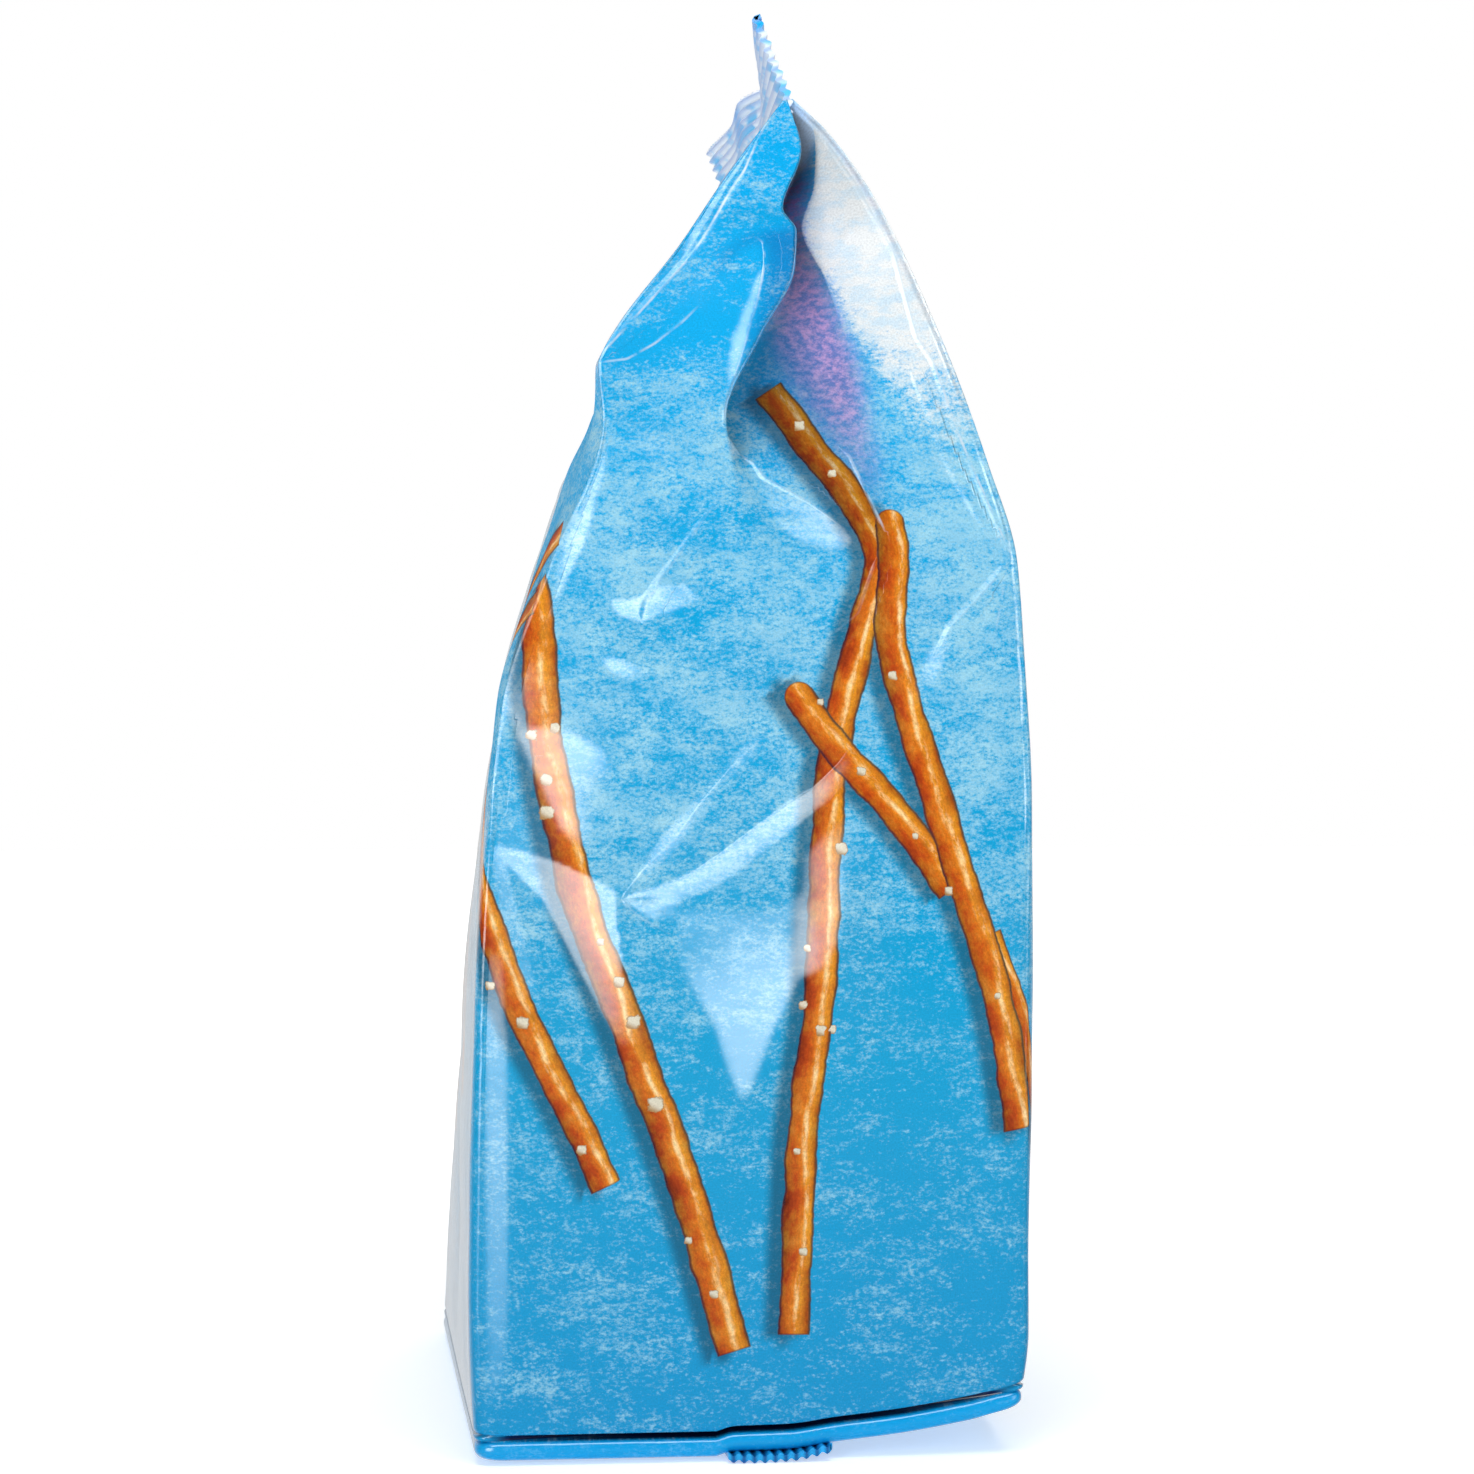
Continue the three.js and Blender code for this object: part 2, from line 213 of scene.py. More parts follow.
def outline(z):
    """The skin at heights z: an array (heights, columns, 2), anticlockwise from above."""
    z = z[:, None]
    flat = np.zeros_like(z)
    bulge, lift = front_bulge(z), flap_raise(z)
    lf = np.stack([left_front(z), flat + FRONT], -1)
    rf = np.stack([right_front(z), flat + FRONT], -1)
    lb = np.stack([left_back(z), flat + BACK], -1)
    rb = np.stack([right_back(z), flat + BACK], -1)
    edge = np.stack([flap_edge(z), FRONT - bulge - lift], -1)
    floor = np.stack([edge[..., 0] + valley_offset(z), FRONT - bulge + valley_depth(z)], -1)
    crest = np.stack([ridge(z), FRONT - 0.75 * bulge + ridge_depth(z)], -1)

    def section(start, end, t, out=0.0, axis=1):
        points = start + (end - start) * t[None, :, None]
        points[..., axis] += out
        return points

    t = SIDE_COLUMNS[None]
    lap = SEAM_RAISE * smoothstep(t, SEAM_FROM - 0.002, SEAM_FROM + 0.002)
    lap = lap * (1 - smoothstep(t, SEAM_TO - 0.002, SEAM_TO + 0.002)) * (z > HEM_HEIGHT)
    tuck = back_tuck(z) * (1 - np.abs(2 * BACK_COLUMNS - 1)) ** 1.4
    left_arch = arch(LEFT_COLUMNS)
    parts = [
        section(lf, edge, LEFT_COLUMNS, -(0.25 * bulge + 0.3 * lift) * left_arch),
        section(edge, floor, WALL_COLUMNS),
        section(floor, crest, SLOPE_COLUMNS),
        section(crest, rf, RIGHT_COLUMNS, -0.4 * bulge * arch(RIGHT_COLUMNS)),
        section(rf, rb, SIDE_COLUMNS, right_bulge(z) * arch(t) + lap, axis=0),
        section(rb, lb, BACK_COLUMNS, bulge * arch(BACK_COLUMNS) - tuck),
        section(lb, lf, SIDE_COLUMNS[:-1], -left_bulge(z) * arch(t[:, :-1]), axis=0),
    ]
    return round_corners(soften(np.concatenate(parts, axis=1)), z)


SOFTEN_PASSES = 12
SOFT_EVERYWHERE = 0.18
SOFT_ON_RIDGE = 0.8
RIDGE_REACH = 8  # columns on each side of the ridge that take part in its round


def soften(points):
    """Rounds the flap's edge a little and the ridge a lot, along each ring."""
    off_ridge = np.arange(FRONT_LAST + 1) - CREST_AT
    share = SOFT_EVERYWHERE + SOFT_ON_RIDGE * np.exp(-((off_ridge / RIDGE_REACH) ** 2))
    share[[0, -1]] = 0
    front = points[:, : FRONT_LAST + 1]
    for _ in range(SOFTEN_PASSES):
        middle = (front[:, :-2] + front[:, 2:]) / 2
        front[:, 1:-1, 1] += 0.5 * share[1:-1] * (middle - front[:, 1:-1])[..., 1]
    return points


ROUND_REACH = 10  # columns on each side of an upright edge that may take part in its round


def round_corners(points, z):
    """Bends each upright edge to a round of the corner radius, on both walls that meet in it."""
    radius = corner_radius(z)
    for at in (0, FRONT_LAST, RIGHT_LAST, BACK_LAST):
        steps = np.arange(-ROUND_REACH, ROUND_REACH + 1)
        reach = (at + steps) % points.shape[1]
        corner = points[:, [at]].copy()
        near = points[:, reach]
        side = np.sign(steps)[None]
        distance = np.hypot(*np.moveaxis(near - corner, -1, 0))
        s = np.clip(side * distance / radius, -1, 1)[..., None]
        before = corner + (near[:, :1] - corner) * (radius / distance[:, :1])[..., None]
        after = corner + (near[:, -1:] - corner) * (radius / distance[:, -1:])[..., None]
        t = (s + 1) / 2
        bent = before * (1 - t) ** 2 + 2 * corner * t * (1 - t) + after * t**2
        points[:, reach] = np.where(np.abs(s) < 1, bent, near)
    return points


# Low rings: how far the skin rolls in on every side, and tucks in on the narrow sides, by height.
base_roll = through([
    (0, 1.3), (0.3, 0.75), (0.8, 0.3), (1.5, 0), (2.4, 0.1), (2.9, 0.4), (HEM_HEIGHT, 1),
    (3.4, 0), (4.05, 0), (4.15, 0.9), (4.5, 0.3), (5.2, 0), (6.5, 0),
])
base_tuck = through([
    (0, 0), (3.15, 0), (3.25, 2), (3.35, POCKET_DEPTH), (4.05, POCKET_DEPTH), (4.15, 1.2), (4.3, 0),
    (6.5, 0),
])
LOW_HEIGHTS = np.array([
    0, 0.15, 0.35, 0.6, 0.9, 1.3, 1.8, 2.3, 2.7, 2.95, 3.1, 3.2, 3.25, 3.35, 3.7, 4.05, 4.15,
    4.25, 4.4, 4.7, 5.2, 5.8, 6.5,
])
HIGH_HEIGHTS = np.concatenate([np.linspace(LOW_HEIGHTS[-1], 58, 31)[1:],
                               np.linspace(58, SEAL_HEIGHT, 240)[1:]])
RISE_ENDS = 45
HEM_STARTS = 3.5


NARROW_FADE = (BACK - 8, BACK - 2)  # where a wide side's ring goes over to a narrow side's
BOW = 1.5  # how the tuck of the narrow sides runs out towards their corners


def low_rings():
    """The rings of the base and its hem, and 1 deep in the fold under the narrow sides, where hardly
    any light gets, and 0 elsewhere."""
    points = outline(LOW_HEIGHTS)
    x, y = points[..., 0], points[..., 1]
    height = LOW_HEIGHTS[:, None]
    roll, tuck = base_roll(height), base_tuck(height)
    narrow = smoothstep(np.abs(y), *NARROW_FADE)
    across = np.minimum(1, np.abs(x) / HALF)
    bow = 1 - across**BOW
    in_x = roll * smoothstep(across, 0.8, 0.95)
    in_y = narrow * (roll + tuck * bow)
    z = BASE_SAG + height + base_rise(x, y)
    rings = np.stack([x - np.sign(x) * in_x, y - np.sign(y) * in_y, z], -1)
    return rings, smoothstep(narrow * tuck * bow, 0.2, 1.5)


def high_rings():
    points = outline(HIGH_HEIGHTS)
    x, y = points[..., 0], points[..., 1]
    height = HIGH_HEIGHTS[:, None]
    share = 1 - smoothstep(height, HEM_STARTS, RISE_ENDS)
    return np.stack([x, y, BASE_SAG + height + base_rise(x, y) * share], -1)


# ---- Folds pressed into the film ------------------------------------------------------------------
# The places of the folds, and of the print further down, were read off the photo and turned
# into millimetres on the front of the bag, to about a quarter or half of one.
# Each facet leans to the left and upwards by so many degrees, and its rim is so many millimetres
# soft. Its outline is (x, z, share): at each corner the facet leans by that share, and in between by
# a blend.
FACETS = [
    # The front left edge, low down and halfway.
    (18, 2, 0.6, [(-44, 85, 0.5), (-41.5, 85, 0.5), (-40.5, 61, 0.9), (-40.5, 28, 1),
                  (-41.5, 7.5, 0.4), (-44, 7, 0.4), (-44, 28, 0.9), (-44, 61, 0.9)]),
    (17, 0, 0.4, [(-44, 103, 0.6), (-42, 101.5, 0.9), (-39.5, 93, 1), (-37, 84, 0.9), (-35.5, 77, 0.3),
                  (-38.5, 77.5, 0.3), (-41, 89, 0.8), (-43, 98, 0.9)]),
    # A long wedge across the left stick, and the one above it.
    (17, 5, 0.35, [(-44, 103, 0.8), (-37, 101, 1), (-31.5, 99.5, 1), (-25.5, 97, 1), (-22.5, 95.5, 1),
                   (-22.5, 89, 0.9), (-21.5, 81.5, 0.6), (-17.5, 70.5, 0.3), (-22.5, 69, 0.4),
                   (-25.5, 75.5, 1), (-30.5, 85.5, 1), (-35.5, 95, 1)]),
    (16, 5, 0.7, [(-41.5, 127.5, 0.9), (-38, 122, 0.9), (-34.5, 122, 0.7), (-29.5, 121, 0.8),
                  (-25, 119, 0.6), (-22.5, 115, 0.4), (-23.5, 108, 0.3), (-28, 101, 0.4), (-32, 106, 0.8),
                  (-36.5, 117, 0.9)]),
    # The star in the middle, the band that runs up from it and the veil that hangs below it.
    (17, 6, 0.5, [(-22, 94, 1), (-17.5, 95, 0.8), (-13.5, 94.5, 0.35), (-12, 93, 0.2),
                  (-14.5, 90, 0.5), (-17.5, 90.5, 0.9), (-19.5, 92, 1)]),
    (17, 6, 0.9, [(-21, 97, 0.6), (-17.5, 102, 0.9), (-13.5, 107, 1), (-8.5, 113, 1),
                  (-3.5, 118.5, 1), (2, 124.5, 0.4), (4.5, 122.5, 0.3), (-0.5, 115.5, 0.8),
                  (-6, 109.5, 0.9), (-11, 103.5, 0.9), (-15, 99, 0.8), (-19, 95.5, 0.6)]),
    (19, 7, 0.4, [(-22, 94.25, 1), (-16.75, 95.75, 1), (-10.75, 98.5, 1), (-5.5, 101.75, 1),
                  (-0.5, 105.5, 1), (5.5, 110, 1), (10, 112.75, 1), (14, 116.75, 0.9),
                  (17, 120, 0.6), (18.75, 118.75, 0.4), (16.25, 114.25, 0.7),
                  (12.25, 110, 0.7), (8.25, 107, 0.7), (3.25, 102.75, 0.65), (-2, 98.5, 0.6),
                  (-7.75, 95, 0.6), (-13, 93.25, 0.6), (-18, 92.75, 0.8)]),
    (18, 3, 1.0, [(-14.5, 92, 0.6), (-9.5, 93.5, 0.65), (-0.5, 92.5, 0.7), (7, 95.5, 0.7),
                  (9, 88.5, 0.7), (8.5, 83.5, 0.8), (6.5, 80, 0.9), (3, 72.5, 1), (0.5, 65, 1),
                  (-2, 59, 1), (-4.5, 65, 1), (-7, 72.5, 1), (-10.5, 78.5, 0.9),
                  (-13.5, 84.5, 0.65)]),
    (16, 5, 0.9, [(7.5, 101, 0.8), (12, 106, 0.6), (17.5, 112, 0.4), (18.5, 110.5, 0.3), (15.8, 103, 0.7),
                  (15, 95, 0.9), (14, 87, 1), (11.5, 82, 0.9), (7.5, 81, 1)]),
    # A faint upright fold on the lower right.
    (18, 2, 1.4, [(37, 92, 0.5), (40, 88, 0.5), (40.5, 60, 0.6), (40, 14, 0.5), (37, 14, 0.5),
                  (36, 60, 0.6)]),
    # Below the right shoulder.
    (21, 8, 0.8, [(43.5, 150.5, 0.8), (42, 148, 0.9), (37, 141.5, 0.9), (33.5, 135.5, 0.8),
                  (30.5, 128.5, 0.5), (25.5, 120.5, 0.2), (23, 121, 0.2), (25.5, 128.5, 0.5),
                  (29.5, 136, 0.8), (34.5, 143, 0.9), (39.5, 147.5, 0.9)]),
    (18, 6, 0.6, [(17, 124.5, 0.5), (23, 127, 0.6), (23, 123.5, 0.6), (17.5, 119.5, 0.5)]),
    # Small dents above the middle, and the peak under the flap.
    (17, 8, 0.4, [(-16.5, 146, 1), (-12, 146.5, 0.9), (-8, 143.5, 0.7), (-11.5, 142, 0.7),
                  (-16.5, 140.5, 1), (-18.5, 139.5, 1), (-17.5, 143.5, 1)]),
    (17, 4, 0.4, [(-18.5, 139.5, 1), (-17.5, 143, 1), (-17.5, 145, 0.9), (-20, 143.5, 0.8),
                  (-24, 144, 0.9), (-22.5, 141, 0.9)]),
    (16, 8, 0.6, [(-26, 134.5, 0.8), (-22.5, 134, 1), (-15.5, 132, 0.5), (-16.5, 130, 0.3),
                  (-20.5, 130, 0.6), (-23.5, 131.5, 1)]),
    (18, 8, 0.5, [(-2.25, 165, 0.6), (-1.75, 167.25, 0.9), (-0.75, 168.25, 1),
                  (0.5, 167.5, 1), (2, 165.5, 1), (3.25, 163.5, 1), (6.75, 161.25, 1),
                  (12.25, 157.5, 1), (17, 153.5, 0.7), (15.5, 152, 0.4), (11.25, 152, 0.5),
                  (7.75, 153.25, 0.7), (5, 155.25, 0.9), (3.25, 158.25, 1),
                  (2.25, 161.25, 0.9), (0.75, 164.25, 0.7), (-0.5, 166, 0.6),
                  (-1.25, 165.75, 0.6)]),
    # The flap's free edge and the fold down the left of the bag.
    (17, 0, 0.35, [(0.75, 199, 0.5), (1.25, 196.75, 0.9), (0.25, 193.25, 1),
                  (-0.75, 189.75, 1), (-2.25, 183, 1), (-3.75, 178.25, 0.9),
                  (-4.75, 174, 0.7), (-5.25, 173.75, 0.6), (-5, 178.25, 0.7),
                  (-4.75, 183, 0.6), (-4.25, 186.75, 0.5), (-2.75, 190, 0.5),
                  (-1.25, 193.25, 0.6), (0, 196.75, 0.7)]),
    (16, 3, 0.5, [(4, 226.5, 0.5), (0.5, 220, 0.8), (-1, 215, 0.9), (-3.5, 211, 1),
                  (-8.5, 203, 0.8), (-11, 199.5, 0.4), (-12, 199.5, 0.4), (-10, 205, 0.7),
                  (-5.5, 213.5, 1), (-2.5, 220, 0.8), (2.5, 226.5, 0.4)]),
    (16, 0, 0.6, [(-24.5, 174, 0.6), (-23.8, 169, 0.9), (-24.6, 164, 1), (-26.5, 158, 1), (-29, 151, 1),
                  (-32.5, 143, 0.8), (-34, 138, 0.3), (-36, 140, 0.3), (-33, 149, 0.8), (-30, 157, 0.9),
                  (-27.5, 164, 0.9), (-26, 171, 0.7)]),
    # A pale sheen below the flap's left corner.
    (13, 4, 1.5, [(-24, 180, 0.5), (-12, 172, 0.7), (-6, 162, 0.4), (-12, 160, 0.4), (-22, 168, 0.6)]),
]

# Sharp creases. Each has the height of its crest, the width of the flank on its left that catches the
# light, how white the worn ink and painted highlight on it are, and its line downwards, as (x, z,
# share of all three).
CREASES = [
    (0.5, 1.0, 0.8, [(3.5, 226, 0.5), (-1.5, 215, 1), (-3, 213, 1), (-8.5, 203.5, 1), (-11, 200, 1),
                     (-21.5, 188.5, 1), (-26, 183.5, 0.6)]),
    (0.4, 0.6, 0.6, [(-9, 192.5, 0.2), (-12, 189.5, 0.8), (-16.5, 186, 1), (-21, 183.5, 1),
                     (-26, 183, 0.8)]),
    (0.1, 0.3, 0.7, [(0.25, 203.5, 0.3), (1.25, 202.75, 0.8), (1.5, 201.25, 1), (1.5, 199, 0.9),
                     (1, 196.25, 0.7), (0.25, 192.5, 0.4), (-1, 188.25, 0.3),
                     (-2.25, 183.75, 0.3), (-3.5, 180, 0.5), (-4.75, 176.25, 0.8),
                     (-5, 173.5, 0.8)]),
    (0.3, 1.6, 0.4, [(-25.5, 174, 0.5), (-27.5, 168.5, 0.7), (-32.5, 154.5, 1), (-35, 146.5, 0.8),
                     (-40, 134, 0.6), (-41.5, 128, 0.5)]),
    (0.3, 0.8, 0.3, [(-42, 125.5, 1), (-43, 114.5, 0.8), (-44, 107, 0.5)]),
    (0.4, 1.3, 0.3, [(-4, 163.5, 0.2), (-6.5, 159.5, 0.5), (-9, 156, 0.7), (-16, 146, 1),
                     (-17.5, 143.5, 1), (-18.5, 140, 1)]),
    (0.4, 0.8, 0.5, [(-1.5, 168, 1), (0.5, 167, 1), (2, 164.5, 1), (4.5, 163, 0.8), (9.5, 160, 0.6),
                     (14.5, 156, 0.2)]),
    (0.1, 0.4, 0.1, [(1.5, 121, 0.1), (-4, 115.5, 0.5), (-9, 109.5, 0.7), (-13, 104, 0.8),
                     (-18, 99, 0.9), (-22, 94, 1)]),
    (0.1, 0.3, 0.1, [(16.5, 119.75, 0.2), (14, 116.25, 0.6), (10, 112.25, 1), (5.5, 109.5, 1),
                     (-0.5, 105.25, 0.9), (-5.5, 101.5, 0.7), (-10.75, 98, 0.5),
                     (-16.75, 95.5, 0.4), (-22, 94.25, 0.6)]),
    (0.3, 0.8, 0.3, [(-22, 94, 1), (-19, 91, 0.8), (-15.5, 89, 0.5), (-13, 87.5, 0.2)]),
    (0.4, 0.9, 0.8, [(11.5, 222, 0.6), (17.5, 213.5, 0.6), (24, 202, 0.8), (26, 195, 0.8),
                     (28, 188, 1), (30.5, 184, 1), (35, 171, 1), (38, 164, 1), (43.5, 151.5, 0.8)]),
    (0.3, 1.6, 0.1, [(27, 182, 0.4), (30.5, 174, 0.8), (34, 165.5, 1), (38, 158, 0.8),
                     (42, 152, 0.4)]),
    (0.3, 0.6, 0.6, [(14.5, 170, 0.3), (16.5, 168, 0.8), (22, 155.5, 1)]),
    (0.25, 0.8, 0.15, [(20.5, 150.5, 0.6), (17.5, 141.5, 1), (12, 137, 0.8), (7, 133.5, 0.4)]),
    (0.3, 0.8, 0.3, [(43, 149.5, 1), (42, 145, 1), (41, 140, 0.8), (40, 134.5, 0.3)]),
    (0.3, 1.2, 0.2, [(43.5, 150.5, 1), (40, 146.5, 1), (33, 139, 0.8), (29.5, 132.5, 0.3)]),
]
CREST_HALF_WIDTH = 1.8
RASTER_STEP = 0.5
RASTER_X = np.arange(-72, 72, RASTER_STEP)
RASTER_Z = np.arange(-30, 260, RASTER_STEP)
RASTER_SHAPE = (len(RASTER_Z), len(RASTER_X))
RASTER_PLACES = np.stack(np.meshgrid(RASTER_X, RASTER_Z), -1).reshape(-1, 2)
# The waves that the raster can hold, in radians a millimetre, for its Fourier transforms.
WAVES_WIDE = 2 * np.pi * np.fft.fftfreq(len(RASTER_X), RASTER_STEP)[None]
WAVES_HIGH = 2 * np.pi * np.fft.fftfreq(len(RASTER_Z), RASTER_STEP)[:, None]
WAVES_SQUARE = WAVES_WIDE**2 + WAVES_HIGH**2
CREASE_FADE = 3.0  # how far from a crease its crest has fallen off
WAVE_SIZE = 5  # slow waves of the taut film: their size, and how far they lean in degrees
WAVE_LEAN = 2.8
CALM = 0.2  # share of the bag's own broad lean that its taut narrow side shows
SLOPE_LEAN = -6  # how far left, in degrees, the valley's slope faces at the top
CAVED_LEAN = 60  # how far left, in degrees, the caved part of the left wide side faces
EDGE_LEAN = 13  # how far left, in degrees, the sharp front left edge faces
LEAN_TRIES = 4  # a facet that came out flatter than asked is asked for more
FACET_BLUR = 0.4
FOLD_BLUR = 0.35
SWELL_SIZE = 9  # slow swells of the film's surface: their size and height
SWELL_HEIGHT = 0.35


def share_inside(points, corners):
    """The facet's share at each point: a blend of its corners' shares, and 0 outside its outline."""
    a = np.array(corners, float)
    b = np.roll(a, -1, axis=0)
    inside = np.zeros(len(points), bool)
    total = np.zeros(len(points))
    weights = np.zeros(len(points))
    for (ax, az, share_a), (bx, bz, share_b) in zip(a, b):
        dx, dz = bx - ax, bz - az
        crosses = (az > points[:, 1]) != (bz > points[:, 1])
        with np.errstate(divide="ignore", invalid="ignore"):
            at = ax + (points[:, 1] - az) / dz * dx
        inside ^= crosses & (points[:, 0] < at)
        t = ((points[:, 0] - ax) * dx + (points[:, 1] - az) * dz) / (dx * dx + dz * dz)
        t = np.clip(t, 0, 1)
        gap = np.hypot(points[:, 0] - ax - t * dx, points[:, 1] - az - t * dz) + 0.05
        weight = math.hypot(dx, dz) / gap**2
        total += weight * (share_a + t * (share_b - share_a))
        weights += weight
    return np.where(inside, total / weights, 0)


def on_raster(corners):
    """The facet's share on the raster."""
    return share_inside(RASTER_PLACES, corners).reshape(RASTER_SHAPE)


def lengths_along(line):
    """The length of the line up to each of its points."""
    return np.concatenate([[0], np.cumsum(np.hypot(*np.diff(line, axis=0).T))])


def along_line(points, line, open_ends=False):
    """Distance to the right of a line drawn downwards, and the place along it, for each point.
    With open ends the first and last stretch go on for ever."""
    line = np.array(line, float)
    step = np.diff(line, axis=0)
    length = np.hypot(*step.T)
    start = lengths_along(line)
    best = np.full(len(points), np.inf)
    across = np.zeros(len(points))
    along = np.zeros(len(points))
    for i, (origin, d) in enumerate(zip(line, step)):
        rel = points - origin
        low = -np.inf if open_ends and i == 0 else 0
        high = np.inf if open_ends and i == len(step) - 1 else 1
        t = np.clip(rel @ d / length[i] ** 2, low, high)
        off = rel - t[:, None] * d
        gap = np.hypot(*off.T)
        side = np.where(rel[:, 1] * d[0] - rel[:, 0] * d[1] >= 0, 1, -1)
        closer = gap < best
        best = np.where(closer, gap, best)
        across = np.where(closer, side * gap, across)
        along = np.where(closer, start[i] + t * length[i], along)
    return across, along, start[-1]


def crease_shares(points, line):
    """Signed distance from a crease, and its share there, which fades at its ends."""
    line = np.array(line, float)
    across, along, length = along_line(points, line[:, :2])
    share = np.interp(along, lengths_along(line[:, :2]), line[:, 2])
    return across, share * smoothstep(np.minimum(along, length - along), -0.6, 1.5)


def blurred(field, radius):
    """The raster field, blurred by a Gaussian of that radius in millimetres."""
    return np.fft.ifft2(np.fft.fft2(field) * np.exp(-WAVES_SQUARE * radius**2 / 2)).real


def leaned(lean_left, lean_up):
    """The height whose slopes come closest to the leans asked for, which are tangents."""
    square = np.where(WAVES_SQUARE > 0, WAVES_SQUARE, 1)
    rises = -1j * (WAVES_WIDE * np.fft.fft2(lean_left) - WAVES_HIGH * np.fft.fft2(lean_up)) / square
    rises[0, 0] = 0
    return np.fft.ifft2(rises).real


def fold_height():
    """Height of the folds of the narrow side, outwards, on the raster."""
    shares = [on_raster(facet[-1]) for facet in FACETS]
    wanted = np.tan(np.radians([facet[:2] for facet in FACETS]))
    asked = wanted.copy()
    for _ in range(LEAN_TRIES):
        left = sum(share * ask for share, ask in zip(shares, asked[:, 0]))
        up = sum(share * ask for share, ask in zip(shares, asked[:, 1]))
        height = leaned(blurred(left, FACET_BLUR), blurred(up, FACET_BLUR))
        rise_up, rise_right = np.gradient(height, RASTER_STEP)
        for i, share in enumerate(shares):
            got = np.array([(share * rise_right).sum(), -(share * rise_up).sum()])
            got = (got @ wanted[i]) / (share**2).sum() / (wanted[i] @ wanted[i])
            asked[i] *= np.clip(1 / max(got, 0.2), 0.6, 1.8)
    for rise, _, _, line in CREASES:
        across, share = crease_shares(RASTER_PLACES, line)
        tent = np.maximum(0, 1 - np.abs(across) / CREST_HALF_WIDTH) ** 1.5
        height += (0.5 * rise * share * tent).reshape(RASTER_SHAPE)
    rng = np.random.default_rng(SEED)
    swell = blurred(rng.normal(size=RASTER_SHAPE), SWELL_SIZE)
    height += SWELL_HEIGHT * swell / swell.std()
    return blurred(height, FOLD_BLUR)


def wanted_leans():
    """The leans of the facets and of slow waves on the raster, as tangents: to the left, upwards."""
    rng = np.random.default_rng(SEED + 2)
    waves = np.stack([blurred(rng.normal(size=RASTER_SHAPE), WAVE_SIZE) for _ in range(2)])
    waves *= math.tan(math.radians(WAVE_LEAN)) / waves.std()
    calm = smoothstep(RASTER_Z, 45, 95)[:, None]
    left, up = waves * calm
    for lean_left, lean_up, softness, corners in FACETS:
        share = blurred(on_raster(corners), softness)
        left += math.tan(math.radians(lean_left)) * share
        up += math.tan(math.radians(lean_up)) * share
    return left, up


def sample(field, x, z):
    """The raster field at points x, z, by linear blending."""
    column = np.clip((x - RASTER_X[0]) / RASTER_STEP, 0, len(RASTER_X) - 1.001)
    row = np.clip((z - RASTER_Z[0]) / RASTER_STEP, 0, len(RASTER_Z) - 1.001)
    i, j = row.astype(int), column.astype(int)
    s, t = row - i, column - j
    upper = field[i + 1, j] * (1 - t) + field[i + 1, j + 1] * t
    lower = field[i, j] * (1 - t) + field[i, j + 1] * t
    return lower * (1 - s) + upper * s


def crumple(places, rng, size, depth):
    """Shallow random facets: the highest of many tilted planes near each point."""
    height = np.zeros(len(places))
    for _ in range(2):
        seeds = rng.uniform(places.min(0) - size, places.max(0) + size, (90, 2))
        tilt = rng.normal(0, depth / size, (90, 2))
        rel = places[:, None, :] - seeds[None]
        planes = (rel * tilt[None]).sum(-1) - (rel**2).sum(-1) / size**2 * depth
        height += np.log(np.exp(planes * 6).sum(1)) / 6
    return height


def fold_skin(rings):
    """Moves the rings' points outwards by the folds of the side that they are on."""
    x, y, z = np.moveaxis(rings, -1, 0)
    front_field = fold_height()
    corner_left, corner_right = x[:, :1], x[:, [FRONT_LAST]]
    low = smoothstep(z, 5, 14)
    in_front = sample(front_field, np.clip(x, corner_left, corner_right), z)
    near_front = 1 - smoothstep(y, FRONT + 2, FRONT + 12)
    top = 1 - 0.8 * smoothstep(z, 200, 226)
    moved = rings.copy()
    moved[..., 1] -= in_front * near_front * low * top
    rng = np.random.default_rng(SEED)
    for first, last, axis, sign, spread_mm in (
        (FRONT_LAST, RIGHT_LAST, 0, 1, 26),
        (RIGHT_LAST, BACK_LAST, 1, 1, 24),
        (BACK_LAST, rings.shape[1], 0, -1, 26),
    ):
        part = slice(first, last + 1)
        flat = np.stack([rings[:, part, 1 - axis], z[:, part]], -1)
        places = flat.reshape(-1, 2)
        rise = crumple(places, rng, spread_mm, 1.6).reshape(flat.shape[:2])
        rise -= rise.mean()
        t = np.linspace(0, 1, flat.shape[1])[None]
        edges = smoothstep(t, 0, 0.12) * (1 - smoothstep(t, 0.88, 1))
        emptier = 0.35 + 0.65 * smoothstep(z[:, part], 90, 160)
        moved[:, part, axis] += sign * rise * edges * emptier * low[:, part] * top[:, part]
    return moved
